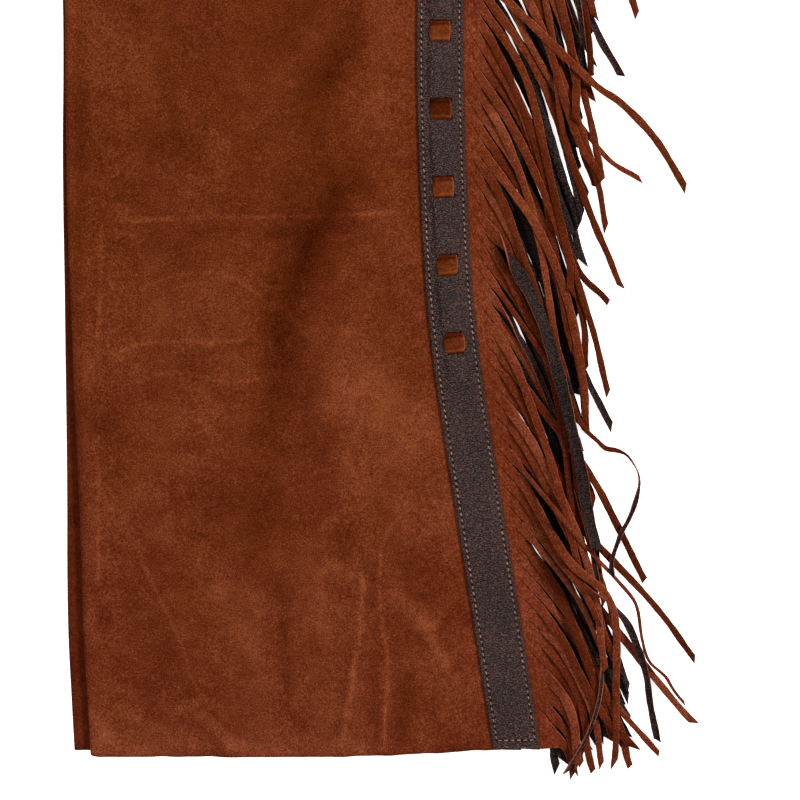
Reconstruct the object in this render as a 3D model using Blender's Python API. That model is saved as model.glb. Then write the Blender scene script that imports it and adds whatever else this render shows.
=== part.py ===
"""Fringed suede chaps, laid flat and folded in half along the centre.

The wearer's left leg lies on top, front side up, with its outer seam at +X.
The right leg lies under it, front side down.  +Y runs from the hem to the belt.
Lengths are worked out in millimetres and turned to metres as meshes are made.
The plan's own origin is on the hem line; the finished part is moved so that the
middle of its footprint is at X = Y = 0.
"""

import math
import random
from collections import namedtuple

import bmesh
import bpy
import numpy as np
from mathutils import Vector

MM = 0.001

# Leather thicknesses and the gap between pieces
HIDE = 1.4
TRIM = 1.3
LACE = 1.2
STRAND = 1.0
BELT = 2.0
GAP = 0.3

# Levels of the stacked layers, at the underside of each
FLOOR_LEVEL = 0.0
LOWER_BACK = FLOOR_LEVEL + HIDE + GAP
UPPER_BACK = LOWER_BACK + HIDE + GAP
UPPER_FRONT = UPPER_BACK + HIDE + GAP
PANEL_TOP = UPPER_FRONT + HIDE

# Garment heights
CROTCH = 760.0
BELT_LOW = 962.0
BELT_WIDTH = 42.0
PANEL_END = BELT_LOW - GAP
RAMP_LOW = 915.0
RAMP_HIGH = 955.0
RAMP_RISE = 1.8

# Outer seam and its trims
STRIP_WIDTH = 30.0
SEAM_OUT = 14.0
HEADER_IN = 4.5
HEADER_OUT = 13.0
HEADER_DROP = 0.9
SLOT_IN = 4.4
SLOT_OUT = 7.1
SLOT_HALF = 7.1
LACE_HALF = 6.7
LACE_TAIL = 20.0
SQUARE_FIRST = 264.9
SQUARE_STEP = 49.9
SQUARE_COUNT = 13

# Fringe
ROOT_FIRST = 11.0
ROOT_STEP = 11.7
ROOT_COUNT = 77
SLIT = 1.3
LANE = 10.0
LOWER_SLOPE = 64.0
CUT = 9.0
SPARE = 0.12

# Leg outline, one row for each height above the hem: the inner fold of the
# upper leg, the inner fold of the leg beneath, and the middle of the strip
Station = namedtuple("Station", "y inner under strip")
LEG = [
    Station(0, 57.9, 47.2, 331.6),
    Station(40, 55.7, 45.0, 325.5),
    Station(75, 53.5, 43.2, 320.0),
    Station(115, 52.3, 42.4, 313.7),
    Station(165, 50.5, 42.3, 305.7),
    Station(200, 48.9, 42.0, 300.2),
    Station(230, 47.4, 41.6, 295.5),
    Station(265, 46.2, 41.1, 290.9),
    Station(300, 44.9, 40.7, 287.4),
    Station(345, 43.1, 39.9, 284.7),
    Station(400, 42.2, 39.5, 282.6),
    Station(430, 41.9, 39.8, 281.8),
    Station(485, 41.3, 39.5, 282.0),
    Station(560, 38.0, 36.0, 285.5),
    Station(640, 31.5, 29.5, 292.0),
    Station(700, 25.5, 23.5, 298.0),
    Station(760, 20.0, 18.0, 304.0),
    Station(840, 16.0, 14.0, 310.5),
    Station(962, 12.0, 10.0, 318.0),
]

# Front edge above the crotch, cut in a J from the crotch to the belt
Edge = namedtuple("Edge", "y x")
FRONT_EDGE = [
    Edge(760, 20), Edge(768, 25), Edge(778, 36), Edge(790, 52), Edge(805, 70),
    Edge(825, 90), Edge(850, 109), Edge(880, 126), Edge(915, 139), Edge(962, 151),
]

# Soft creases of the upper front panel, each a ridge from one point to the next;
# a negative height is a trough
Crease = namedtuple("Crease", "x1 y1 x2 y2 width height")
CREASES = [
    Crease(244, 118, 244, 6, 6.0, 2.2),
    Crease(231, 88, 226, 42, 6.5, 2.0),
    Crease(226, 42, 221, 14, 6.5, 2.2),
    Crease(134, 30, 148, 4, 7.0, 1.8),
    Crease(178, 96, 186, 6, 9.0, -1.6),
    Crease(255, 106, 271, 88, 6.0, 1.5),
    Crease(120, 420, 150, 250, 22.0, 1.0),
    Crease(215, 380, 205, 200, 20.0, 1.2),
    Crease(178, 400, 182, 150, 14.0, -1.0),
    Crease(95, 160, 110, 60, 18.0, 1.0),
    Crease(110, 700, 160, 560, 20.0, 1.2),
    Crease(215, 820, 190, 640, 22.0, 1.3),
]
SWELL = 1.4

# Strands of the upper fringe with a course of their own.  root is the height where
# the strand leaves the header, tip_x and tip_y its end, lean the slope of its last
# stretch below the horizontal, and bow how far it swings out before it comes down
Strand = namedtuple("Strand", "root tip_x tip_y lean width bow")
OWN_COURSE = [
    Strand(655, 408.3, 475.5, 75, 5.6, 0.40),
    Strand(610, 398.1, 436.5, 63, 6.4, 0.35),
    Strand(600, 380.8, 443.5, 65, 5.8, 0.35),
    Strand(575, 360.5, 398.5, 80, 5.8, 0.35),
    Strand(540, 385.6, 369.3, 64, 6.0, 0.35),
    Strand(520, 388.5, 338.6, 75, 6.0, 0.35),
    Strand(509, 410.9, 369.9, 32, 5.0, 0.45),
    Strand(498, 439.5, 364.2, 62, 5.6, 0.62),
    Strand(486, 397.8, 301.4, 60, 5.6, 0.40),
    Strand(463, 390.0, 290.9, 50, 5.6, 0.40),
    Strand(450, 366.4, 262.4, 75, 5.8, 0.35),
    Strand(427, 389.8, 232.3, 75, 5.8, 0.35),
    Strand(400, 391.9, 211.2, 55, 5.6, 0.40),
    Strand(337, 381.0, 132.5, 74, 7.6, 0.30),
    Strand(303, 391.5, 116.5, 100, 3.4, 0.62),
    Strand(260, 413.2, 112.6, 62, 5.8, 0.30),
    Strand(200, 445.3, 62.0, 54, 5.8, 0.30),
    Strand(188, 438.8, 33.7, 50, 4.4, 0.45),
    Strand(176, 393.6, -5.8, 90, 6.0, 0.50),
    Strand(165, 421.0, 10.2, 76, 5.6, 0.45),
    Strand(152, 444.8, 21.1, 44, 7.0, 0.35),
    Strand(140, 362.0, -9.0, 118, 5.4, 0.60),
    Strand(118, 403.8, -7.0, 66, 5.6, 0.35),
    Strand(106, 422.4, 1.3, 44, 5.8, 0.30),
    Strand(94, 406.4, 5.1, 52, 5.8, 0.30),
    Strand(70, 380.0, -10.0, 70, 5.6, 0.35),
]

# The flow that the other strands follow: the slope below the horizontal and the
# length of the straight line from root to tip, by the height of the root
Flow = namedtuple("Flow", "root slope reach")
FLOW = [
    Flow(0, 68, 16), Flow(30, 67, 44), Flow(60, 66, 76), Flow(90, 66, 106),
    Flow(120, 66, 136), Flow(150, 65, 158), Flow(190, 64, 174), Flow(230, 66, 184),
    Flow(280, 69, 190), Flow(340, 70, 192), Flow(420, 68, 196), Flow(520, 67, 196),
    Flow(930, 67, 192),
]

COLOURS = {
    "suede": (0.190, 0.040, 0.018, 1.0),
    "suede_back": (0.150, 0.035, 0.018, 1.0),
    "grain": (0.045, 0.031, 0.030, 1.0),
    "fringe": (0.165, 0.036, 0.017, 1.0),
    "steel": (0.42, 0.40, 0.38, 1.0),
}


def spline(xs, ys, at):
    """Smooth curve through the points, read at one place."""
    slopes = np.gradient(ys, xs)
    at = min(max(at, xs[0]), xs[-1])
    i = min(int(np.searchsorted(xs, at, side="right")) - 1, len(xs) - 2)
    step = xs[i + 1] - xs[i]
    t = (at - xs[i]) / step
    near = (1 + 2 * t) * (1 - t) ** 2 * ys[i] + t * (1 - t) ** 2 * step * slopes[i]
    far = t * t * (3 - 2 * t) * ys[i + 1] + t * t * (t - 1) * step * slopes[i + 1]
    return float(near + far)


def column(rows, name):
    """One named column of a table, as an array."""
    return np.array([getattr(row, name) for row in rows], dtype=float)


LEG_Y = column(LEG, "y")
LEG_COLUMNS = {name: column(LEG, name) for name in ("inner", "under", "strip")}
FRONT_Y = column(FRONT_EDGE, "y")
FRONT_X = column(FRONT_EDGE, "x")


def leg(name, y):
    """A column of the leg table at height y."""
    return spline(LEG_Y, LEG_COLUMNS[name], y)


def inner_edge(y):
    """Left edge of a front panel: the inner fold, then the J above the crotch."""
    if y <= CROTCH:
        return leg("inner", y)
    return float(np.interp(y, FRONT_Y, FRONT_X))


def offset_of_lower_leg(y):
    """How far the leg beneath lies to the left of the upper one."""
    return leg("inner", y) - leg("under", y)


def smoothstep(t):
    """Soft rise from 0 to 1."""
    t = min(max(t, 0.0), 1.0)
    return t * t * (3 - 2 * t)


def ramp(y):
    """Rise of the upper front panel where it meets the belt's upper layers."""
    return RAMP_RISE * min(max((y - RAMP_LOW) / (RAMP_HIGH - RAMP_LOW), 0.0), 1.0)


def strip_point(y, across):
    """Plan point at a distance right of the strip's middle line."""
    d = 2.0
    slope = (leg("strip", y + d) - leg("strip", y - d)) / (2 * d) * smoothstep(y / 40.0)
    length = math.hypot(1.0, slope)
    return leg("strip", y) + across / length, y - across * slope / length


def crease_height(x, y):
    """Height of the soft relief at a plan point, never below the flat lay."""
    total = SWELL * math.sin(math.pi * min(max((x - 60) / 235, 0), 1)) ** 2
    for c in CREASES:
        run = Vector((c.x2 - c.x1, c.y2 - c.y1))
        t = (Vector((x - c.x1, y - c.y1)).dot(run)) / run.length_squared
        near = Vector((c.x1, c.y1)) + run * min(max(t, 0.0), 1.0)
        gone = (Vector((x, y)) - near).length / c.width
        total += c.height * math.exp(-gone * gone)
    return max(total, 0.0)


def relief(x, y):
    """The panel's relief, which fades out before the strip and the belt."""
    right = leg("strip", y) - STRIP_WIDTH / 2
    fade = smoothstep((right - 4 - x) / 32) * smoothstep((RAMP_LOW - 5 - y) / 60)
    return crease_height(x, y) * fade * smoothstep((x - inner_edge(y) - 16) / 22)


def new_object(name, bm, colour, smooth_angle=40):
    """Turn a bmesh in millimetres into a named object in metres."""
    bmesh.ops.recalc_face_normals(bm, faces=bm.faces[:])
    bmesh.ops.scale(bm, vec=(MM, MM, MM), verts=bm.verts[:])
    mesh = bpy.data.meshes.new(name)
    bm.to_mesh(mesh)
    bm.free()
    mesh.shade_smooth()
    mesh.set_sharp_from_angle(angle=math.radians(smooth_angle))
    mesh.materials.append(material(colour))
    obj = bpy.data.objects.new(name, mesh)
    bpy.context.collection.objects.link(obj)
    return obj


def material(name):
    """The Principled material for one finish."""
    found = bpy.data.materials.get(name)
    if found:
        return found
    made = bpy.data.materials.new(name)
    made.use_nodes = True
    shader = made.node_tree.nodes["Principled BSDF"]
    shader.inputs["Base Color"].default_value = COLOURS[name]
    shader.inputs["Roughness"].default_value = 0.35 if name == "steel" else 0.8
    shader.inputs["Metallic"].default_value = 1.0 if name == "steel" else 0.0
    return made


def thicken(bm, drop):
    """Give an open sheet its wall by extruding it straight down."""
    grown = bmesh.ops.extrude_face_region(bm, geom=bm.faces[:])
    moved = [v for v in grown["geom"] if isinstance(v, bmesh.types.BMVert)]
    bmesh.ops.translate(bm, vec=(0, 0, -drop), verts=moved)


def loft(bm, rings):
    """Skin closed rings of equal count, one after another, and cap the ends."""
    loops = [[bm.verts.new(p) for p in ring] for ring in rings]
    count = len(loops[0])
    for near, far in zip(loops, loops[1:]):
        for i in range(count):
            j = (i + 1) % count
            bm.faces.new((near[i], near[j], far[j], far[i]))
    return loops


def plate(name, outline, low, high, colour):
    """A flat layer of hide: an outline extruded upward."""
    bm = bmesh.new()
    face = bm.faces.new([bm.verts.new((x, y, high)) for x, y in outline])
    face.normal_update()
    thicken(bm, high - low)
    return new_object(name, bm, colour)


def as_cutter(obj):
    """Mark an object as a helper for a Boolean."""
    obj.hide_render = True
    obj.display_type = "WIRE"


def boolean(obj, tool, operation):
    """Join or cut one object by another."""
    as_cutter(tool)
    mod = obj.modifiers.new(tool.name, "BOOLEAN")
    mod.operation = operation
    mod.solver = "EXACT"
    mod.object = tool


# Upper front panel

PANEL_ROWS = [0, 7, 15, 25, 37, 50, 65, 82, 100, 120, 145, 172, 200, 230, 262, 295, 330, 365,
              400, 440, 485, 530, 575, 620, 665, 705, 740, 760, 768, 778, 790, 805, 825, 850,
              880, RAMP_LOW, RAMP_HIGH, PANEL_END]
PANEL_COLUMNS = [0.0, 0.10, 0.19, 0.26, 0.32, 0.38, 0.43, 0.48, 0.53, 0.57, 0.61, 0.65, 0.69,
                 0.75, 0.82, 0.90, 1.0]


def hem_lift(x, y):
    """The hem runs straight, then climbs a little towards the outer seam."""
    return 4.5 * smoothstep((x - 215) / 110) * max(1 - y / 60, 0)


def panel_ring(y):
    """Section of the front panel: rolled inner fold, then the lay of the top."""
    left = inner_edge(y)
    right = strip_point(y, SEAM_OUT)[0]
    above = smoothstep((y - CROTCH + 15) / 40)
    roll = 2.2 - 0.6 * above
    lip = 18 - 10 * above
    settle = 12 - 3 * above
    base = UPPER_BACK + ramp(y)
    mid = base + roll
    hollow = roll - HIDE
    top = base + HIDE + GAP + HIDE
    outer = [(left + lip, base), (left + roll, base)]
    for angle in (225, 180, 135, 90):
        a = math.radians(angle)
        outer.append((left + roll + roll * math.cos(a), mid + roll * math.sin(a)))
    crown = mid + roll
    outer.append((left + roll + (settle - roll) * 0.45, top + (crown - top) * 0.55))
    start = left + settle
    lay = [(start + (right - start) * u) for u in PANEL_COLUMNS]
    tops = [(x, top + relief(x, y)) for x in lay]
    outer += tops
    inner = [(x, z - HIDE) for x, z in reversed(tops)]
    inner.append((left + roll + (settle - roll) * 0.45, top + (crown - top) * 0.55 - HIDE))
    for angle in (90, 180, 270):
        a = math.radians(angle)
        inner.append((left + roll + hollow * math.cos(a), mid + hollow * math.sin(a)))
    inner.append((left + lip, base + HIDE))
    ring = outer + inner
    return [Vector((x, y + hem_lift(x, y), z)) for x, z in ring]


def make_front_panel():
    """The upper leg's front, one wall with its edge rolled under along the fold."""
    bm = bmesh.new()
    loops = loft(bm, [panel_ring(y) for y in PANEL_ROWS])
    tops = len(PANEL_COLUMNS) + 7
    for loop in (loops[0], loops[-1]):
        close_section(bm, loop, tops)
    return new_object("leg_left_front", bm, "suede")


def close_section(bm, loop, tops):
    """Cap one end of the panel's wall with quads across its thickness."""
    outer = loop[:tops]
    inner = list(reversed(loop[tops:]))
    pairs = [0, 1, 1, 2, 2, 3] + list(range(4, len(inner)))
    for i in range(tops - 1):
        a = inner[pairs[i]]
        b = inner[pairs[i + 1]]
        if a is b:
            bm.faces.new((outer[i], outer[i + 1], a))
        else:
            bm.faces.new((outer[i], outer[i + 1], b, a))


# Hidden layers

def outer_line(inset, lower, low, high):
    """Points up the outer seam, moved left by an inset."""
    points = []
    for y in np.linspace(low, high, 17):
        shift = offset_of_lower_leg(y) if lower else 0.0
        x, _ = strip_point(y, SEAM_OUT)
        points.append((x - shift - inset, float(y)))
    return points


def left_line(inset, name, low, high, count=13):
    """Points down the inner fold, moved right by an inset."""
    return [(leg(name, y) + inset, float(y)) for y in np.linspace(high, low, count)]


def back_top(inset):
    """Top edge of a back panel, from the outer seam down to the crotch."""
    return [(292 + inset, PANEL_END - 0.4 - inset), (272, 922 - inset), (150, 832 - inset),
            (70 + inset, 772 - inset)]


def make_hidden_layers():
    """Lower front, lower back and upper back, joined by a core set well inside."""
    j_edge = [(e.x - 1.6, e.y) for e in reversed(FRONT_EDGE[1:-1])]
    base = plate(
        "folded_layers",
        outer_line(0.4, True, 4.0, PANEL_END)
        + [(149.5, PANEL_END)] + j_edge + left_line(1.3, "under", 4.0, CROTCH - 2),
        FLOOR_LEVEL, HIDE, "suede_back")
    lower_back = plate(
        "lower_back",
        outer_line(1.3, True, 4.7, PANEL_END - 0.4) + back_top(1.0)
        + left_line(1.1, "under", 4.7, 742),
        LOWER_BACK, LOWER_BACK + HIDE, "suede_back")
    upper_back = plate(
        "upper_back",
        outer_line(0.9, False, 5.6, PANEL_END - 0.4) + back_top(3.0)
        + left_line(18.6, "inner", 1.6, 736),
        UPPER_BACK, UPPER_BACK + HIDE, "suede_back")
    core_top = back_top(18.0)
    core = plate(
        "core",
        outer_line(13.0, True, 19.0, core_top[0][1]) + core_top[1:] + left_line(27.0, "inner", 18.0, 720),
        HIDE * 0.5, UPPER_BACK + HIDE * 0.5, "suede_back")
    bead = make_fold_bead()
    for tool in (core, bead, lower_back, upper_back):
        boolean(base, tool, "UNION")
    return base


def make_fold_bead():
    """The lower leg's inner fold, a rounded edge from its front to its back."""
    radius = (HIDE + GAP + HIDE) / 2
    rings = []
    for y in np.linspace(4.3, CROTCH - 20, 15):
        x = leg("under", y) + radius
        rings.append([Vector((x + radius * math.cos(a), y, radius + radius * math.sin(a)))
                      for a in np.linspace(0, 2 * math.pi, 10, endpoint=False)])
    bm = bmesh.new()
    loops = loft(bm, rings)
    for loop in (loops[0], loops[-1]):
        bm.faces.new(loop)
    return new_object("fold_bead", bm, "suede_back")


# Strip and lace

def square_centres():
    """Heights of the lace squares along the strip."""
    return [SQUARE_FIRST + SQUARE_STEP * i for i in range(SQUARE_COUNT)]


def strip_rows():
    """Rows of the strip: height, whether the lace runs under it, and what follows."""
    rows = [(6.0, False), (30.0, False), (55.0, False), (85.0, False), (115.0, False),
            (150.0, False), (190.0, False), (SQUARE_FIRST - LACE_TAIL - 11.0, False),
            (SQUARE_FIRST - LACE_TAIL - 2.0, True)]
    for centre in square_centres():
        rows += [(centre - SLOT_OUT, True), (centre - SLOT_IN, False),
                 (centre + SLOT_IN, False), (centre + SLOT_OUT, True)]
    rows += [(square_centres()[-1] + LACE_TAIL + 2.0, True),
             (square_centres()[-1] + LACE_TAIL + 14.0, False), (RAMP_LOW, False), (RAMP_HIGH, False), (PANEL_END - 0.6, False)]
    return rows


def strip_columns(over_lace):
    """Columns of the strip: distance from its middle and height over the panel."""
    middle = GAP + LACE + GAP if over_lace else GAP
    side = GAP + STRAND + GAP
    half = STRIP_WIDTH / 2
    return [(-half, GAP), (-half + 5.0, GAP), (-SLOT_HALF, middle), (SLOT_HALF, middle),
            (half - 5.0, side), (half, side)]


def make_strip():
    """Dark grain strip along the outer seam, with a slot at each side of a square."""
    bm = bmesh.new()
    rows = strip_rows()
    grid = []
    for y, over_lace in rows:
        line = []
        for across, rise in strip_columns(over_lace):
            px, py = strip_point(y, across)
            line.append(bm.verts.new((px, py, PANEL_TOP + ramp(y) + rise + TRIM)))
        grid.append(line)
    for i in range(len(rows) - 1):
        is_slot = rows[i][1] != rows[i + 1][1] and rows[i + 1][0] - rows[i][0] < SLOT_OUT
        for j in range(5):
            if is_slot and j == 2:
                continue
            bm.faces.new((grid[i][j], grid[i][j + 1], grid[i + 1][j + 1], grid[i + 1][j]))
    thicken(bm, TRIM)
    return new_object("side_strip", bm, "grain", 60)


def make_lace():
    """Suede lace woven through the strip; each rise through it is a square."""
    under = PANEL_TOP + GAP
    over = PANEL_TOP + GAP + TRIM + GAP
    centres = square_centres()
    rows = [(centres[0] - LACE_TAIL, under)]
    for centre in centres:
        rows += [(centre - SLOT_OUT + 0.15, under), (centre - SLOT_IN - 0.15, over),
                 (centre, over + 0.5),
                 (centre + SLOT_IN + 0.15, over), (centre + SLOT_OUT - 0.15, under)]
    rows.append((centres[-1] + LACE_TAIL, under))
    bm = bmesh.new()
    pairs = []
    for y, level in rows:
        pair = []
        for across in (-LACE_HALF, LACE_HALF):
            px, py = strip_point(y, across)
            pair.append(bm.verts.new((px, py, level + LACE)))
        pairs.append(pair)
    for near, far in zip(pairs, pairs[1:]):
        bm.faces.new((near[0], near[1], far[1], far[0]))
    thicken(bm, LACE)
    return new_object("side_lace", bm, "suede", 30)


# Fringe

class HeightField:
    """Heights already taken over the plan, so that each strand lies on the last."""

    CELL = 0.8
    SPREAD = 0.36

    def __init__(self, x0, y0, x1, y1):
        self.x0 = x0
        self.y0 = y0
        self.top = np.zeros((int((x1 - x0) / self.CELL) + 1, int((y1 - y0) / self.CELL) + 1))

    def cells(self, a, b, half):
        """Cells under one stretch of a strand, and how far along it each is."""
        pad = half + self.CELL
        i0 = max(int((min(a.x, b.x) - pad - self.x0) / self.CELL), 0)
        i1 = min(int((max(a.x, b.x) + pad - self.x0) / self.CELL) + 2, self.top.shape[0])
        j0 = max(int((min(a.y, b.y) - pad - self.y0) / self.CELL), 0)
        j1 = min(int((max(a.y, b.y) + pad - self.y0) / self.CELL) + 2, self.top.shape[1])
        gx, gy = np.meshgrid(np.arange(i0, i1), np.arange(j0, j1), indexing="ij")
        cx = self.x0 + (gx + 0.5) * self.CELL
        cy = self.y0 + (gy + 0.5) * self.CELL
        run = b - a
        length = run.length
        t = ((cx - a.x) * run.x + (cy - a.y) * run.y) / (length * length)
        side = np.abs((cx - a.x) * run.y - (cy - a.y) * run.x) / length
        hit = (side <= half + self.SPREAD) & (t > -0.03) & (t < 1.03)
        return gx[hit], gy[hit], np.clip(t[hit], 0, 1)

    def demands(self, a, b, half):
        """What one stretch must clear: places along it and the height there."""
        gx, gy, t = self.cells(a, b, half)
        steps = 12
        slot = np.minimum((t * steps).astype(int), steps - 1)
        found = []
        for k in range(steps):
            here = slot == k
            if here.any():
                height = float(self.top[gx[here], gy[here]].max())
                found += [(k / steps, height), ((k + 1) / steps, height)]
        return found

    def cover(self, a, b, half, za, zb):
        """Record the top of one stretch."""
        gx, gy, t = self.cells(a, b, half)
        self.top[gx, gy] = np.maximum(self.top[gx, gy], za + (zb - za) * t)


def header_point(y, across, lower):
    """Plan point on a fringe header, measured from the panel's outer edge."""
    x, py = strip_point(y, SEAM_OUT + across)
    return Vector((x - (offset_of_lower_leg(y) if lower else 0.0), py))


def bezier(p0, p1, p2, p3, t):
    """Point on a cubic curve."""
    s = 1 - t
    return p0 * s ** 3 + p1 * 3 * s * s * t + p2 * 3 * s * t * t + p3 * t ** 3


def below_horizontal(degrees):
    """Plan direction that points right and down by an angle."""
    a = math.radians(degrees)
    return Vector((math.cos(a), -math.sin(a)))


def strand_route(root, tip, lean, bow, start, parts):
    """Middle line of a strand: straight out of its slit, then a curve to the tip."""
    lane = root + below_horizontal(start) * min(LANE, (tip - root).length * 0.4)
    reach = (tip - lane).length
    first = lane + below_horizontal(start) * reach * bow
    last = tip - below_horizontal(lean) * reach * 0.35
    points = [root, lane]
    body = 1 - min(CUT / reach, 0.4)
    for i in range(1, parts):
        points.append(bezier(lane, first, last, tip, body * i / (parts - 1)))
    return points + [tip]


def strand_plan(lower):
    """Each strand's root height, tip, lean, width and bow, from the table or the flow."""
    dice = random.Random(21 if lower else 8)
    plan = []
    roots = [ROOT_FIRST + ROOT_STEP * i for i in range(ROOT_COUNT)]
    taken = {}
    if not lower:
        for own in OWN_COURSE:
            free = [i for i in range(ROOT_COUNT) if i not in taken]
            taken[min(free, key=lambda i: abs(roots[i] - own.root))] = own
    slopes = column(FLOW, "slope")
    reaches = column(FLOW, "reach")
    heights = column(FLOW, "root")
    for i, root in enumerate(roots):
        wobble = dice.uniform(-1, 1)
        stretch = dice.uniform(-1, 1)
        if i in taken:
            own = taken[i]
            plan.append((root, Vector((own.tip_x, own.tip_y)), own.lean, own.width, own.bow))
            continue
        reach = float(np.interp(root, heights, reaches)) * (1 + 0.06 * stretch)
        if lower:
            slope = LOWER_SLOPE + wobble
            reach *= 0.93
        else:
            slope = float(np.interp(root, heights, slopes)) + 2.2 * wobble
        start = header_point(root, HEADER_OUT, lower)
        tip = start + below_horizontal(slope) * reach
        tip.y = max(tip.y, -11.0 - 1.5 * stretch)
        lean = slope + (2 if lower else 5 + 3 * stretch)
        plan.append((root, tip, lean, 5.5 + 0.3 * wobble, 0.32))
    return plan


def start_slope(root):
    """Slope of the slits below the horizontal."""
    return float(np.interp(root, [0, 120, 300, 930], [50, 50, 55, 57]))


def lowest_level(k, levels, stretches):
    """Lowest level of one point that still clears the stretches beside it."""
    lowest = GAP
    if k - 1 in stretches:
        for t, height in stretches[k - 1]:
            if t > 0.0:
                lowest = max(lowest, (height + SPARE - levels[k - 1] * (1 - t)) / t)
    if k in stretches:
        for t, height in stretches[k]:
            if t < 1.0:
                lowest = max(lowest, (height + SPARE - levels[k + 1] * t) / (1 - t))
    return lowest


def settle(field, points, half, first):
    """Lowest levels that carry a strand clear of what lies under it.

    The first stretch stays in its own slit, so it has nothing to clear.  The strand
    starts above everything and is let down a point at a time.
    """
    last = len(points) - 1
    stretches = {k: field.demands(points[k], points[k + 1], half) for k in range(1, last)}
    peaks = {k: max([h for _, h in found], default=0.0) for k, found in stretches.items()}
    levels = [first]
    for k in range(1, last + 1):
        levels.append(max(peaks.get(k - 1, 0.0), peaks.get(k, 0.0), 0.0) + GAP)
    for _ in range(4):
        for k in list(range(last, 0, -1)) + list(range(1, last + 1)):
            levels[k] = min(levels[k], lowest_level(k, levels, stretches))
    return levels


def lay_order(count):
    """Every fourth strand, four times round, so those laid together don't meet."""
    return [i for turn in range(4) for i in range(turn, count, 4)]


def lay_strands(field, plan, header_low, lower, parts):
    """Route and level of every strand."""
    laid = [None] * len(plan)
    for i in lay_order(len(plan)):
        root, tip, lean, width, bow = plan[i]
        start = header_point(root, HEADER_OUT, lower)
        count = parts if (tip - start).length > 90 else 2
        points = strand_route(start, tip, lean, bow, start_slope(root), count)
        half = width / 2
        levels = settle(field, points, half, header_low)
        for k in range(len(points) - 1):
            field.cover(points[k], points[k + 1], half,
                        levels[k] + STRAND, levels[k + 1] + STRAND)
        laid[i] = (points, levels, width)
    return laid


def strand_width(width, share):
    """Width along a strand, which narrows and ends in a slanted point."""
    if share >= 1.0:
        return 1.2
    return width * (1 - 0.18 * share)


def build_fringe(name, plan, laid, header_in, header_low, lower, colour):
    """One header with its strands, as one sheet with a wall."""
    bm = bmesh.new()
    inner_low = PANEL_TOP + GAP if not lower else header_low
    step = ROOT_STEP / 2
    edge = []
    for root, *_ in plan + [(plan[-1][0] + ROOT_STEP,)]:
        at = header_point(root - step, header_in, lower)
        edge.append(bm.verts.new((at.x, at.y, inner_low + STRAND)))
    mid = []
    for root, *_ in plan + [(plan[-1][0] + ROOT_STEP,)]:
        at = header_point(root - step, 0.6, lower)
        mid.append(bm.verts.new((at.x, at.y, inner_low + STRAND)))
    previous = None
    for i, (points, levels, width) in enumerate(laid):
        slope = below_horizontal(start_slope(plan[i][0]))
        reach = (ROOT_STEP - SLIT) / 2
        pair = []
        for side in (-1, 1):
            at = header_point(plan[i][0] + side * reach, HEADER_OUT, lower)
            pair.append(bm.verts.new((at.x, at.y, levels[0] + STRAND)))
        bm.faces.new((edge[i], mid[i], mid[i + 1], edge[i + 1]))
        bm.faces.new((mid[i], pair[0], pair[1], mid[i + 1]))
        if previous:
            bm.faces.new((mid[i], previous, pair[0]))
        previous = pair[1]
        root_width = 2 * reach * abs(slope.x)
        total = len(points) - 1
        for k in range(1, len(points)):
            after = points[min(k + 1, total)]
            run = (after - points[k - 1]).normalized()
            across = Vector((run.y, -run.x))
            share = k / total
            wide = strand_width(min(width, root_width) if k > 1 else min(root_width, width + 0.4), share)
            centre = points[k]
            if share >= 1.0:
                centre = points[k] - across * (wide * 1.2)
            fresh = []
            for side in (1, -1):
                at = centre + across * (side * wide / 2)
                fresh.append(bm.verts.new((at.x, at.y, levels[k] + STRAND)))
            bm.faces.new((pair[0], fresh[0], fresh[1], pair[1]))
            pair = fresh
    thicken(bm, STRAND)
    return new_object(name, bm, colour, 30)


def make_fringes():
    """Lower fringe on the surface, then the upper fringe over it."""
    field = HeightField(250, -30, 480, 960)
    lower_plan = strand_plan(True)
    lower_low = GAP
    lower_laid = lay_strands(field, lower_plan, lower_low, True, 3)
    build_fringe("fringe_right", lower_plan, lower_laid, 0.0, lower_low, True, "fringe")
    upper_plan = strand_plan(False)
    upper_low = UPPER_FRONT + HEADER_DROP
    upper_laid = lay_strands(field, upper_plan, upper_low, False, 5)
    build_fringe("fringe_left", upper_plan, upper_laid, -HEADER_IN, upper_low, False, "fringe")


# Belt and buckle

BELT_SIDE = 336.0
FOLD_IN = 118.0
FOLD_OUT = 106.0
TIP_END = 216.0
BUCKLE_LEFT = 112.0
BUCKLE_RIGHT = 147.0


def arc_points(cx, cz, rx, rz, start, stop, count=5):
    """Points round part of an ellipse in the X and Z plane."""
    return [(cx + rx * math.cos(math.radians(a)), cz + rz * math.sin(math.radians(a)))
            for a in np.linspace(start, stop, count)]


def belt_path():
    """Middle line of the belt, from the buckle end round the waist to the tip."""
    layer = [BELT / 2 + i * (BELT + GAP) for i in range(5)]
    near = (layer[1] - layer[0]) / 2
    path = [(BUCKLE_RIGHT + 0.8, layer[3]), (250, layer[3])]
    path += arc_points(BELT_SIDE - near, (layer[3] + layer[2]) / 2, near, near, 90, -90)
    path += [(250, layer[2])]
    path += arc_points(FOLD_IN + near, (layer[2] + layer[1]) / 2, near, near, 90, 270)
    path += [(250, layer[1])]
    path += arc_points(BELT_SIDE - near, (layer[1] + layer[0]) / 2, near, near, 90, -90)
    path += [(250, layer[0])]
    wide = (layer[3] - layer[0]) / 2
    path += arc_points(FOLD_OUT + wide, (layer[3] + layer[0]) / 2, wide, wide, 270, 90, 7)
    path += [(BUCKLE_LEFT + 6, layer[3]), (BUCKLE_RIGHT - 6, layer[4] + 0.3),
             (BUCKLE_RIGHT, layer[4] + 0.3), (BUCKLE_RIGHT + 12, layer[4]),
             (TIP_END - 14, layer[4]), (TIP_END, layer[4])]
    return path


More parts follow.
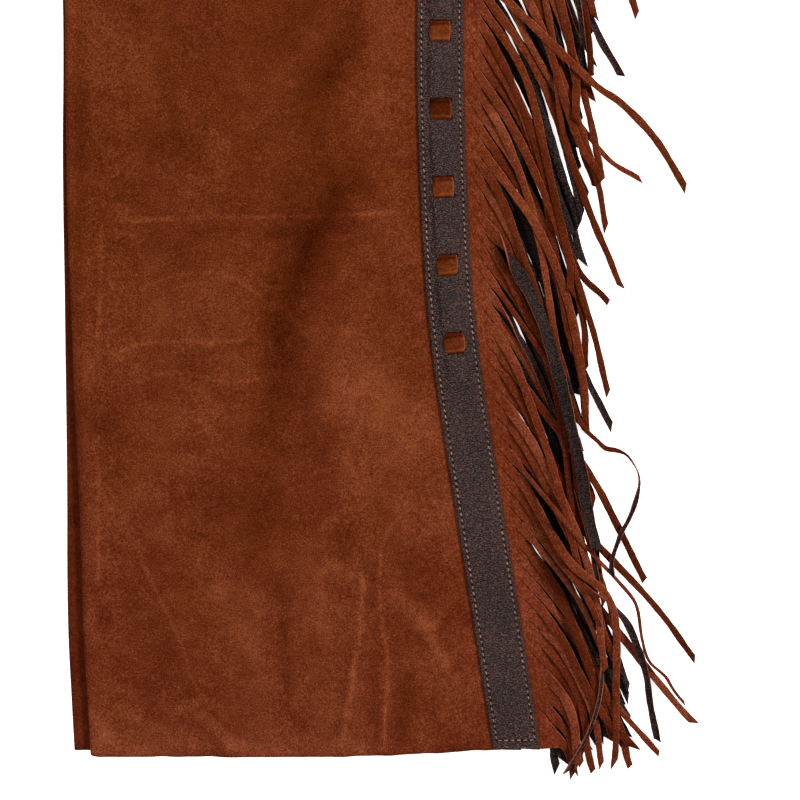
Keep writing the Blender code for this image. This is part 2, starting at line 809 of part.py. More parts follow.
def make_belt():
    """The belt as one band on edge along its path, with a pointed tip."""
    path = [Vector(p) for p in belt_path()]
    rings = []
    for i, p in enumerate(path):
        before = path[max(i - 1, 0)]
        after = path[min(i + 1, len(path) - 1)]
        run = (after - before).normalized()
        side = Vector((-run.y, run.x)) * (BELT / 2)
        low = BELT_LOW
        high = BELT_LOW + BELT_WIDTH
        if i == len(path) - 1:
            low += 14
            high -= 14
        a = p + side
        b = p - side
        rings.append([Vector((a.x, low, a.y)), Vector((a.x, high, a.y)),
                      Vector((b.x, high, b.y)), Vector((b.x, low, b.y))])
    bm = bmesh.new()
    loops = loft(bm, rings)
    for loop in (loops[0], loops[-1]):
        bm.faces.new(loop)
    belt = new_object("belt", bm, "grain")
    middle = BELT_LOW + BELT_WIDTH / 2
    hole = plate("prong_hole",
                 [(BUCKLE_RIGHT - 14, middle - 2.6), (BUCKLE_RIGHT - 2.0, middle - 2.6),
                  (BUCKLE_RIGHT - 2.0, middle + 2.6), (BUCKLE_RIGHT - 14, middle + 2.6)],
                 8.95, 16.0, "grain")
    boolean(belt, hole, "DIFFERENCE")
    return belt


def make_buckle():
    """A plain frame over the strap's left side and under its right, with its prong."""
    bar = 2.2
    slant = 2.6
    middle = BELT_LOW + BELT_WIDTH / 2
    half = BELT_WIDTH / 2 + 5.0
    layer_top = 4 * BELT + 3 * GAP
    toe = layer_top + GAP
    flat = 5.0
    run = BUCKLE_RIGHT - BUCKLE_LEFT - 2 * flat

    def level(x):
        return toe - slant * min(max((x - BUCKLE_LEFT - flat) / run, 0.0), 1.0)

    bm = bmesh.new()
    outer = rounded_frame(BUCKLE_LEFT, BUCKLE_RIGHT, middle - half, middle + half, 5.0)
    inner = rounded_frame(BUCKLE_LEFT + 4, BUCKLE_RIGHT - 4, middle - half + 4.2,
                          middle + half - 4.2, 1.4)
    high_outer = [bm.verts.new((x, y, level(x) + bar)) for x, y in outer]
    high_inner = [bm.verts.new((x, y, level(x) + bar)) for x, y in inner]
    count = len(outer)
    for i in range(count):
        j = (i + 1) % count
        bm.faces.new((high_outer[i], high_outer[j], high_inner[j], high_inner[i]))
    thicken(bm, bar)
    frame = new_object("belt_buckle", bm, "steel")
    heel = level(BUCKLE_RIGHT - 2) + bar / 2
    lift = layer_top + GAP + BELT + 0.9
    section = [(BUCKLE_RIGHT - 0.8, heel - 0.6), (BUCKLE_RIGHT - 3.4, heel - 0.6),
               (BUCKLE_RIGHT - 7.6, lift - 0.2), (BUCKLE_LEFT - 1.0, lift + 0.3),
               (BUCKLE_LEFT - 1.0, lift + 2.1), (BUCKLE_RIGHT - 9.5, lift + 1.8),
               (BUCKLE_RIGHT - 5.2, lift + 0.8), (BUCKLE_RIGHT - 0.8, heel + 0.6)]
    bm = bmesh.new()
    face = bm.faces.new([bm.verts.new((x, middle - 1.5, z)) for x, z in section])
    grown = bmesh.ops.extrude_face_region(bm, geom=[face])
    moved = [v for v in grown["geom"] if isinstance(v, bmesh.types.BMVert)]
    bmesh.ops.translate(bm, vec=(0, 3.0, 0), verts=moved)
    prong = new_object("prong", bm, "steel")
    boolean(frame, prong, "UNION")
    return frame


def rounded_frame(x0, x1, y0, y1, radius):
    """Rectangle with rounded corners, four points to a corner."""
    points = []
    corners = [(x1 - radius, y0 + radius, -90), (x1 - radius, y1 - radius, 0),
               (x0 + radius, y1 - radius, 90), (x0 + radius, y0 + radius, 180)]
    for cx, cy, start in corners:
        for a in np.linspace(start, start + 90, 4):
            points.append((cx + radius * math.cos(math.radians(a)),
                           cy + radius * math.sin(math.radians(a))))
    return points


def make_keeper():
    """Leather loop that holds the strap's tip down on the buckle end."""
    low = PANEL_TOP + RAMP_RISE + GAP
    high = 5 * BELT + 4 * GAP
    wall = 1.4
    middle = BELT_LOW + BELT_WIDTH / 2
    half = BELT_WIDTH / 2 + GAP
    x0 = 170.0
    x1 = 182.0
    bm = bmesh.new()
    outer = [(middle - half - wall, high + wall), (middle + half + wall, high + wall),
             (middle + half + wall, low), (middle + half, low), (middle + half, high + GAP),
             (middle - half, high + GAP), (middle - half, low), (middle - half - wall, low)]
    face = bm.faces.new([bm.verts.new((x0, y, z)) for y, z in outer])
    grown = bmesh.ops.extrude_face_region(bm, geom=[face])
    moved = [v for v in grown["geom"] if isinstance(v, bmesh.types.BMVert)]
    bmesh.ops.translate(bm, vec=(x1 - x0, 0, 0), verts=moved)
    return new_object("belt_keeper", bm, "grain")


def centre_footprint():
    """Stand every piece under one empty, so that the footprint's middle is at zero."""
    low = Vector((1e9, 1e9))
    high = Vector((-1e9, -1e9))
    pieces = [o for o in bpy.data.objects if o.type == "MESH"]
    for obj in pieces:
        if obj.hide_render:
            continue
        for v in obj.data.vertices:
            low.x = min(low.x, v.co.x)
            low.y = min(low.y, v.co.y)
            high.x = max(high.x, v.co.x)
            high.y = max(high.y, v.co.y)
    stand = bpy.data.objects.new("footprint", None)
    bpy.context.collection.objects.link(stand)
    stand.location = (-(low.x + high.x) / 2, -(low.y + high.y) / 2, 0.0)
    for obj in pieces:
        obj.parent = stand


def main():
    """Clear the scene and make each piece."""
    for obj in list(bpy.data.objects):
        bpy.data.objects.remove(obj)
    make_front_panel()
    make_hidden_layers()
    make_strip()
    make_lace()
    make_fringes()
    make_belt()
    make_buckle()
    make_keeper()
    centre_footprint()


main()
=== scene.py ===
"""Looks of fringed suede chaps, laid flat and folded in half along the centre.

The wearer's left leg lies on top, front side up, and the right leg lies beneath it.
Places are worked out in millimetres of a plan whose origin is on the hem line, with
+Y running from the hem to the belt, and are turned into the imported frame's metres as
each mesh is made.  The suede pieces are open sheets with a Solidify wall, the fringe
is cut from one sheet with its header, and each strand rests on those laid before it.
"""

import logging
import math
import random
from dataclasses import dataclass, field
from enum import Enum
from functools import lru_cache
from typing import NamedTuple, Sequence

import bmesh
import bpy
import numpy as np
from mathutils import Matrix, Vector


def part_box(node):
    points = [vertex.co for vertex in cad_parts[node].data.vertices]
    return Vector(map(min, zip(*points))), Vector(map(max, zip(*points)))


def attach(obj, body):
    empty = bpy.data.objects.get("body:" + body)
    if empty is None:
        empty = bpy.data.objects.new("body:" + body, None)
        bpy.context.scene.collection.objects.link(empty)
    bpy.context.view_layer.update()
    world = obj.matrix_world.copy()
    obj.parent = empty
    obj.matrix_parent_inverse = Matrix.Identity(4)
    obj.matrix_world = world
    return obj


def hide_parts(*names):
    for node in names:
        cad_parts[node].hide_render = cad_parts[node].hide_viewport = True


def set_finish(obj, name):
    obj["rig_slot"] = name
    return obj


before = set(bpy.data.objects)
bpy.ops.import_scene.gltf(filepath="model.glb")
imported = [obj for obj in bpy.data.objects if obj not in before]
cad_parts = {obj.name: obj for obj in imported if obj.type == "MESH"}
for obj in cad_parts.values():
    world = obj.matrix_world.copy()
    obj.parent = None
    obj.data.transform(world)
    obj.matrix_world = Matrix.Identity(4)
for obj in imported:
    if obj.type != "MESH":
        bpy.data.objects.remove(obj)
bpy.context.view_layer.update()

LOG = logging.getLogger("chaps")
MM = 0.001

# How much more light falls on the chaps than shows white paper as white
LIGHT = 1.9

# Leather thicknesses and the gap between pieces
HIDE = 1.4
TRIM = 1.3
LACE = 1.2
STRAND = 1.0
BELT = 2.0
GAP = 0.3

# Levels of the stacked layers, at the underside of each
FLOOR_LEVEL = 0.0
LOWER_BACK = FLOOR_LEVEL + HIDE + GAP
UPPER_BACK = LOWER_BACK + HIDE + GAP
UPPER_FRONT = UPPER_BACK + HIDE + GAP
PANEL_TOP = UPPER_FRONT + HIDE

# Garment heights
CROTCH = 760.0
BELT_LOW = 962.0
BELT_WIDTH = 42.0
BELT_MIDDLE = BELT_LOW + BELT_WIDTH / 2
BELT_JOINT = 0.05
PANEL_END = BELT_LOW - BELT_JOINT
RAMP_LOW = 915.0
RAMP_HIGH = 955.0
RAMP_RISE = 1.8
PHOTO_TOP = 490.0

# Outer seam and its trims
STRIP_WIDTH = 30.0
STRIP_LOW = 6.0
STRIP_HIGH = PANEL_END - 0.6
SEAM_OUT = 14.0
HEADER_IN = 4.5
HEADER_OUT = 13.0
HEADER_DROP = 0.9
SLOT_IN = 4.4
SLOT_OUT = 7.1
LACE_HALF = 6.7
LACE_TAIL = 20.0
SQUARE_FIRST = 264.9
SQUARE_STEP = 49.9
SQUARE_COUNT = 13

# Stitching of the strip
STITCH_PITCH = 3.9
STITCH_INSET = 2.9
STITCH_CROSS = 5.0
SEAM_LINE = STRIP_WIDTH / 2 - STITCH_INSET

# Fringe
ROOT_FIRST = 11.0
ROOT_STEP = 11.7
ROOT_COUNT = 77
LANE = 10.0
SPARE = 0.12
FRINGE_AREA = (250, -40, 490, 960)
SMOOTHING = (0.25, 0.5, 0.25)

# Seeds of the random draws
LACE_SEED = 5
SHADE_SEED = 40
STITCH_SEED = 12
SLIT_SEED = 3
CUT_SEED = 900

# How far apart the strands' cuts lie, in metres, so that no two show the same streaks
CUT_SHIFT = 0.41

# A squared distance, in square millimetres, that is past every needle hole
FAR = 99.0


class Station(NamedTuple):
    """Leg outline at one height: both inner folds and the middle of the strip."""

    y: float
    inner: float
    under: float
    strip: float


LEG = [
    Station(0, 57.9, 47.2, 331.6),
    Station(40, 55.7, 45.0, 325.5),
    Station(75, 53.5, 43.2, 320.0),
    Station(115, 52.3, 42.4, 313.7),
    Station(165, 50.5, 42.3, 305.7),
    Station(200, 48.9, 42.0, 300.2),
    Station(230, 47.4, 41.6, 295.5),
    Station(265, 46.2, 41.1, 290.9),
    Station(300, 44.9, 40.7, 287.4),
    Station(345, 43.1, 39.9, 284.7),
    Station(400, 42.2, 39.5, 282.6),
    Station(430, 41.9, 39.8, 281.8),
    Station(485, 41.3, 39.5, 282.0),
    Station(560, 38.0, 36.0, 285.5),
    Station(640, 31.5, 29.5, 292.0),
    Station(700, 25.5, 23.5, 298.0),
    Station(760, 20.0, 18.0, 304.0),
    Station(840, 16.0, 14.0, 310.5),
    Station(962, 12.0, 10.0, 318.0),
]

# Front edge above the crotch: heights, and how far right the J has come
FRONT_Y = [760, 768, 778, 790, 805, 825, 850, 880, 915, 962]
FRONT_X = [20, 25, 36, 52, 70, 90, 109, 126, 139, 151]


class Crease(NamedTuple):
    """A soft ridge, or a trough where the height is negative, between two points."""

    x1: float
    y1: float
    x2: float
    y2: float
    width: float
    height: float


CREASES = [
    Crease(244, 118, 244, 6, 6.0, 2.2),
    Crease(231, 88, 226, 42, 6.5, 2.0),
    Crease(226, 42, 221, 14, 6.5, 2.2),
    Crease(134, 30, 148, 4, 7.0, 1.8),
    Crease(178, 96, 186, 6, 9.0, -1.6),
    Crease(255, 106, 271, 88, 6.0, 1.5),
    Crease(120, 420, 150, 250, 22.0, 1.0),
    Crease(215, 380, 205, 200, 20.0, 1.2),
    Crease(178, 400, 182, 150, 14.0, -1.0),
    Crease(95, 160, 110, 60, 18.0, 1.0),
    Crease(110, 700, 160, 560, 20.0, 1.2),
    Crease(215, 820, 190, 640, 22.0, 1.3),
]

# Rise of the whole upper panel between its fold and its strip
SWELL = 1.4


class Mark(NamedTuple):
    """A soft pale mark along a line, or a dark one where its strength is negative."""

    width: float
    strength: float
    line: tuple[tuple[float, float], ...]


# Where the suede has been bent, brushed or rubbed, and painted shade: the dark lines down a
# crease's trough and along the inner fold
MARKS = [
    Mark(15.0, -0.40, ((222, 372), (208, 343), (190, 308), (178, 276), (180, 255), (174, 222),
                       (169, 190), (171, 152))),
    Mark(9.0, -0.34, ((216, 360), (202, 330), (188, 300), (178, 276), (178, 262))),
    Mark(13.0, -0.30, ((194, 238), (203, 210), (206, 172))),
    Mark(17.0, -0.36, ((222, 482), (226, 460), (212, 440))),
    Mark(11.0, -0.28, ((231, 460), (208, 438), (196, 420))),
    Mark(8.0, -0.34, ((229, 366), (247, 356))),
    Mark(9.0, -0.34, ((112, 396), (126, 392))),
    Mark(3.0, -0.32, ((74, 396), (78, 386), (86, 392))),
    Mark(4.5, -0.24, ((123, 337), (180, 336), (237, 340))),
    Mark(8.0, -0.26, ((64, 214), (72, 202))),
    Mark(5.0, -0.42, ((64, 94), (67, 86))),
    Mark(4.5, -0.36, ((226, 149), (219, 140))),
    # Painted shade: these two dark lines run down the trough from (178, 96) to (186, 6)
    Mark(4.0, -0.40, ((182, 84), (183, 54), (184, 30))),
    Mark(9.0, -0.16, ((178, 110), (178, 60))),
    Mark(2.6, -0.22, ((205, 66), (240, 65), (268, 66))),
    Mark(7.0, -0.22, ((256, 174), (272, 168))),
    Mark(6.0, -0.30, ((252, 4), (262, 50))),
    # Painted shade along the inner fold, where the rolled edge turns away from the light
    Mark(4.5, -0.35, ((52, 470), (50, 300), (52, 60))),
    Mark(26.0, 0.20, ((84, 296), (120, 300), (158, 288))),
    Mark(20.0, 0.16, ((70, 440), (110, 452), (150, 440))),
    Mark(24.0, 0.18, ((230, 264), (246, 240), (250, 214))),
    Mark(22.0, 0.16, ((100, 214), (140, 206), (130, 180))),
    Mark(14.0, 0.20, ((226, 424), (240, 410), (216, 392))),
    Mark(24.0, 0.20, ((218, 220), (230, 190), (262, 150))),
    Mark(20.0, 0.14, ((246, 120), (262, 60), (230, 24))),
    Mark(7.0, 0.30, ((252, 238), (244, 212))),
    Mark(7.0, 0.26, ((142, 106), (152, 84), (162, 68))),
    Mark(5.5, 0.24, ((205, 118), (203, 88), (210, 68))),
    Mark(4.5, 0.34, ((214, 123), (228, 117))),
    Mark(5.0, 0.26, ((209, 149), (222, 158), (232, 162))),
    Mark(6.0, 0.62, ((254, 102), (262, 96), (271, 86))),
    Mark(3.4, 0.62, ((271, 86), (278, 74), (283, 62), (286, 58))),
    Mark(3.2, 0.50, ((278, 84), (285, 97))),
    Mark(3.6, 0.44, ((76, 31), (88, 25))),
    Mark(3.2, 0.44, ((116, 31), (130, 38))),
    Mark(2.9, 0.54, ((129, 28), (141, 16), (150, 6))),
    Mark(2.7, 0.40, ((57, 30), (64, 22), (70, 12))),
    Mark(2.7, 0.42, ((100, 20), (116, 8))),
    Mark(2.7, 0.38, ((124, 6), (118, 18))),
    Mark(8.0, 0.26, ((60, 6), (150, 8), (250, 6))),
]

# Thin lines that run mostly up the panel, drawn by the finish: half-width, strength and
# points from the lowest to the highest
UPRIGHT_LINES = [
    Mark(1.5, 0.62, ((246, 6), (246, 20), (248, 60), (244, 86), (243, 113), (246, 139),
                     (254, 152), (271, 164))),
    Mark(2.1, 0.62, ((219, 6), (224, 40), (228, 67), (231, 90), (232, 121))),
    Mark(1.7, 0.40, ((131, 38), (122, 51), (118, 67), (104, 98), (97, 113), (85, 139))),
    Mark(1.3, 0.42, ((63, 109), (63, 150), (63, 194))),
    Mark(1.4, 0.30, ((62, 258), (64, 300), (65, 342))),
]

# The same across the panel, from the left
LEVEL_LINES = [
    Mark(1.5, 0.40, ((65, 342), (120, 345), (194, 346), (265, 349))),
    Mark(1.7, 0.34, ((68, 252), (78, 260), (110, 266), (137, 265), (160, 268))),
    Mark(1.6, 0.30, ((90, 300), (125, 310), (150, 306), (172, 290))),
    Mark(1.5, 0.26, ((78, 236), (110, 246), (150, 240), (176, 246))),
    Mark(1.3, 0.30, ((250, 244), (257, 237), (262, 243), (268, 238))),
]


class Side(Enum):
    """Which side of the hide a strand shows."""

    SUEDE = "suede"
    GRAIN = "grain"
    TURNED = "turned"


class Strand(NamedTuple):
    """A strand with a course of its own.

    root is the height where it leaves the header, tip_x and tip_y its end, lean the
    slope of its last stretch below the horizontal, and bow how far it swings out.
    """

    root: float
    tip_x: float
    tip_y: float
    lean: float
    width: float
    bow: float
    side: Side = Side.SUEDE


OWN_COURSE = [
    Strand(655, 408.3, 475.5, 75, 5.6, 0.40),
    Strand(610, 398.1, 436.5, 63, 5.4, 0.35, Side.TURNED),
    Strand(600, 380.8, 443.5, 65, 4.2, 0.35, Side.GRAIN),
    Strand(575, 360.5, 398.5, 80, 5.8, 0.35),
    Strand(540, 385.6, 369.3, 64, 6.0, 0.35),
    Strand(520, 388.5, 338.6, 75, 6.0, 0.35),
    Strand(509, 410.9, 369.9, 32, 5.0, 0.45),
    Strand(498, 439.5, 364.2, 62, 5.6, 0.62),
    Strand(486, 397.8, 301.4, 60, 5.6, 0.40),
    Strand(463, 390.0, 290.9, 50, 5.4, 0.40),
    Strand(450, 366.4, 262.4, 75, 5.8, 0.35),
    Strand(427, 389.8, 232.3, 75, 5.8, 0.35),
    Strand(400, 391.9, 211.2, 55, 5.6, 0.40, Side.TURNED),
    Strand(337, 381.0, 132.5, 74, 9.2, 0.30, Side.GRAIN),
    Strand(303, 391.5, 116.5, 100, 3.4, 0.62, Side.TURNED),
    Strand(260, 413.2, 112.6, 62, 5.8, 0.30),
    Strand(200, 445.3, 62.0, 54, 5.8, 0.30),
    Strand(188, 438.8, 33.7, 50, 3.0, 0.45),
    Strand(176, 393.6, -5.8, 90, 6.0, 0.50),
    Strand(165, 421.0, 10.2, 76, 5.6, 0.45, Side.TURNED),
    Strand(152, 444.8, 21.1, 44, 7.0, 0.35),
    Strand(140, 362.0, -9.0, 118, 3.8, 0.60, Side.TURNED),
    Strand(118, 403.8, -7.0, 66, 5.6, 0.35),
    Strand(106, 422.4, 1.3, 44, 5.8, 0.30),
    Strand(94, 406.4, 5.1, 52, 5.8, 0.30),
    Strand(70, 380.0, -10.0, 70, 5.6, 0.35),
]

# Points that the freest strands pass through, by the height of their root
WAYPOINTS = {
    498: [(374.4, 435.5), (398.0, 419.0), (420.0, 396.0), (439.5, 364.2)],
    337: [(337.9, 298.9), (348.2, 274.6), (357.8, 241.3), (363.5, 217.0), (371.2, 184.3),
          (374.4, 161.3), (381.0, 132.5)],
    303: [(344.0, 262.0), (363.3, 230.7), (368.0, 220.2), (373.8, 210.2), (381.4, 203.5),
          (387.2, 197.8), (393.6, 196.5), (400.6, 193.9), (406.4, 185.6), (409.6, 176.6),
          (407.4, 163.8), (402.6, 151.7), (397.4, 143.4), (393.6, 133.8), (391.0, 125.4),
          (391.5, 116.5)],
    188: [(370.0, 140.0), (396.0, 112.0), (407.4, 97.3), (410.6, 76.8), (415.4, 61.4),
          (426.2, 51.2), (432.0, 41.6), (438.8, 33.7)],
    176: [(362.0, 128.0), (386.0, 106.0), (393.6, 84.5), (394.0, 40.0), (393.6, -5.8)],
    165: [(366.0, 116.0), (388.0, 100.0), (400.6, 86.4), (409.0, 67.8), (414.1, 51.2),
          (416.6, 33.3), (421.0, 10.2)],
}

# The flow of the other strands by the height of the root: slope below the horizontal
# and length of the straight line from root to tip
FLOW_ROOT = [0, 30, 60, 90, 120, 150, 190, 230, 280, 340, 420, 520, 930]
FLOW_SLOPE = [68, 67, 66, 66, 66, 65, 65, 68, 71, 72, 71, 70, 70]
FLOW_REACH = [16, 44, 76, 106, 136, 158, 174, 184, 190, 192, 196, 196, 192]
LOWER_SLOPE = [60, 57, 55, 55, 56, 58, 61, 64, 66, 66, 66, 66, 66]

LEG_Y = np.array([s.y for s in LEG], dtype=float)
LEG_COLUMNS = {name: np.array([getattr(s, name) for s in LEG], dtype=float)
               for name in ("inner", "under", "strip")}
LEG_SLOPES = {name: np.gradient(values, LEG_Y) for name, values in LEG_COLUMNS.items()}
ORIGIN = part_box("leg_left_front")[0] / MM - Vector((min(FRONT_X), 0.0, UPPER_BACK))


@lru_cache(maxsize=None)
def leg(name: str, y: float) -> float:
    """Read a column of the leg table at height y on a smooth curve.

    Args:
        name: Column of the leg table.
        y: Height above the hem.

    Returns:
        Plan X of that line.
    """
    values = LEG_COLUMNS[name]
    slopes = LEG_SLOPES[name]
    y = min(max(y, LEG_Y[0]), LEG_Y[-1])
    i = min(int(np.searchsorted(LEG_Y, y, side="right")) - 1, len(LEG_Y) - 2)
    step = LEG_Y[i + 1] - LEG_Y[i]
    t = (y - LEG_Y[i]) / step
    near = (1 + 2 * t) * (1 - t) ** 2 * values[i] + t * (1 - t) ** 2 * step * slopes[i]
    far = t * t * (3 - 2 * t) * values[i + 1] + t * t * (t - 1) * step * slopes[i + 1]
    return float(near + far)


def inner_edge(y: float, name: str = "inner") -> float:
    """Left edge of a front panel: the inner fold, then the J above the crotch."""
    if y <= CROTCH:
        return leg(name, y)
    return float(np.interp(y, FRONT_Y, FRONT_X)) + leg(name, CROTCH) - leg("inner", CROTCH)


def offset_of_lower_leg(y: float) -> float:
    """How far the leg beneath lies to the left of the upper one."""
    return leg("inner", y) - leg("under", y)


def smoothstep(t: float) -> float:
    """Soft rise from 0 to 1."""
    t = min(max(t, 0.0), 1.0)
    return t * t * (3 - 2 * t)


def past_crotch(y: float) -> float:
    """How far a height is past the bend at the crotch, from 0 to 1."""
    return smoothstep((y - CROTCH + 15) / 40)


def ramp(y: float) -> float:
    """Rise of the upper front panel where it meets the belt's upper layers."""
    return RAMP_RISE * min(max((y - RAMP_LOW) / (RAMP_HIGH - RAMP_LOW), 0.0), 1.0)


def arc(cx: float, cz: float, radius: float, start: float, stop: float,
        count: int = 13) -> list[tuple[float, float]]:
    """Points round part of a circle, between two angles in degrees."""
    return [(cx + radius * math.cos(math.radians(a)), cz + radius * math.sin(math.radians(a)))
            for a in np.linspace(start, stop, count)]


def strip_point(y: float, across: float) -> tuple[float, float]:
    """Plan point at a distance right of the strip's middle line."""
    d = 2.0
    slope = (leg("strip", y + d) - leg("strip", y - d)) / (2 * d) * smoothstep(y / 40.0)
    length = math.hypot(1.0, slope)
    return leg("strip", y) + across / length, y - across * slope / length


def nearest(c: Crease, x: float, y: float) -> float:
    """How many of its widths a point is from a crease."""
    run_x = c.x2 - c.x1
    run_y = c.y2 - c.y1
    t = ((x - c.x1) * run_x + (y - c.y1) * run_y) / (run_x * run_x + run_y * run_y)
    t = min(max(t, 0.0), 1.0)
    return math.hypot(x - c.x1 - run_x * t, y - c.y1 - run_y * t) / c.width


def creases_at(x: float, y: float) -> float:
    """Sum of the creases' heights at a plan point."""
    near = [(c.height, nearest(c, x, y)) for c in CREASES]
    return sum(height * math.exp(-gone * gone) for height, gone in near if gone < 3.0)


def marks_at(points: np.ndarray) -> np.ndarray:
    """How pale or dark the marks make each point.

    Args:
        points: Plan points, with X and Y along the last axis.

    Returns:
        The sum of the marks' strengths at each.
    """
    total = np.zeros(points.shape[:-1])
    for mark in MARKS:
        nearest_sq = np.full(total.shape, 1e9)
        for start, end in zip(mark.line, mark.line[1:]):
            run = np.subtract(end, start)
            t = np.clip(((points[..., :2] - start) @ run) / (run @ run), 0, 1)[..., None]
            gap = points[..., :2] - start - t * run
            nearest_sq = np.minimum(nearest_sq, (gap ** 2).sum(axis=-1))
        total += mark.strength * np.exp(-nearest_sq / mark.width ** 2)
    return total


def relief(x: float, y: float) -> float:
    """The upper panel's relief, which fades out before its fold, strip and belt."""
    swell = SWELL * math.sin(math.pi * min(max((x - 60) / 235, 0), 1)) ** 2
    total = max(swell + creases_at(x, y), 0.0)
    right = leg("strip", y) - STRIP_WIDTH / 2
    fade = smoothstep((right - 4 - x) / 32) * smoothstep((RAMP_LOW - 5 - y) / 60)
    return total * fade * smoothstep((x - inner_edge(y) - 16) / 22)


# Meshes

def add_object(name: str, data: bpy.types.ID) -> bpy.types.Object:
    """Make an object of a mesh, light or camera and put it in the scene."""
    obj = bpy.data.objects.new(name, data)
    bpy.context.scene.collection.objects.link(obj)
    return obj


class Mesh:
    """A bmesh in plan millimetres that becomes one finished object in metres."""

    def __init__(self, name: str) -> None:
        """Start an empty mesh.

        Args:
            name: Name of the finished object.
        """
        self.name = name
        self.bm = bmesh.new()
        self.uv = self.bm.loops.layers.uv.new("cut")
        self.tone = self.bm.verts.layers.float.new("tone")

    def sheet(self, points: np.ndarray, cut: np.ndarray | None = None,
              tone: np.ndarray | float = 0.0, material: int = 0) -> list[bmesh.types.BMVert]:
        """Lay a grid over rows of points.

        Args:
            points: Rows by columns by three, in plan millimetres.
            cut: Rows by columns by two, where each point is in the flat cut, in metres.
            tone: How pale the finish is, the same everywhere or point by point.
            material: Index of the material of its faces.

        Returns:
            The grid's vertices.
        """
        rows, columns = points.shape[:2]
        made = bmesh.ops.create_grid(self.bm, x_segments=columns - 1, y_segments=rows - 1,
                                     size=0.5)["verts"]
        tones = np.broadcast_to(tone, (rows, columns))
        place = {}
        for v in made:
            at = (round((v.co.y + 0.5) * (rows - 1)), round((v.co.x + 0.5) * (columns - 1)))
            place[v] = at
            v.co = points[at]
            v[self.tone] = float(tones[at])
        for face in {f for v in made for f in v.link_faces}:
            face.material_index = material
            if cut is not None:
                for loop in face.loops:
                    loop[self.uv].uv = cut[place[loop.vert]]
        return made

    def bead(self) -> list[bmesh.types.BMVert]:
        """Add a ball of radius 1, for the caller to shape into a stitch."""
        return bmesh.ops.create_uvsphere(self.bm, u_segments=8, v_segments=5,
                                         radius=1.0)["verts"]

    def finish(self, materials: Sequence[bpy.types.Material], slot: str,
               wall: float = 0.0, angle: float = 40.0, centred: bool = False
               ) -> bpy.types.Object:
        """Turn the bmesh into an object that rides on the root body.

        Args:
            materials: Finishes, in the order of the faces' indices.
            slot: The record's material slot.
            wall: Thickness that Solidify adds under the surface, or none.
            angle: Edges sharper than this stay sharp, in degrees.
            centred: Whether the wall grows to both sides.

        Returns:
            The finished object.
        """
        for v in self.bm.verts:
            v.co = (v.co + ORIGIN) * MM
        data = bpy.data.meshes.new(self.name)
        self.bm.to_mesh(data)
        self.bm.free()
        data.shade_smooth()
        data.set_sharp_from_angle(angle=math.radians(angle))
        for m in materials:
            data.materials.append(m)
        obj = add_object(self.name, data)
        if wall:
            mod = obj.modifiers.new("wall", "SOLIDIFY")
            mod.thickness = wall * MM
            mod.offset = 0.0 if centred else -1.0
            mod.material_offset = 1 if len(materials) > 2 else 0
            mod.use_even_offset = False
        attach(obj, "root")
        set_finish(obj, slot)
        return obj


def bevel_edges(obj: bpy.types.Object, width: float, segments: int = 2,
                angle: float = 40.0) -> None:
    """Round an object's sharp edges.

    Args:
        obj: The object.
        width: Width of the rounding, in millimetres.
        segments: Faces across it.
        angle: Edges sharper than this are rounded, in degrees.
    """
    mod = obj.modifiers.new("edge", "BEVEL")
    mod.width = width * MM
    mod.segments = segments
    mod.limit_method = "ANGLE"
    mod.angle_limit = math.radians(angle)


# Finishes

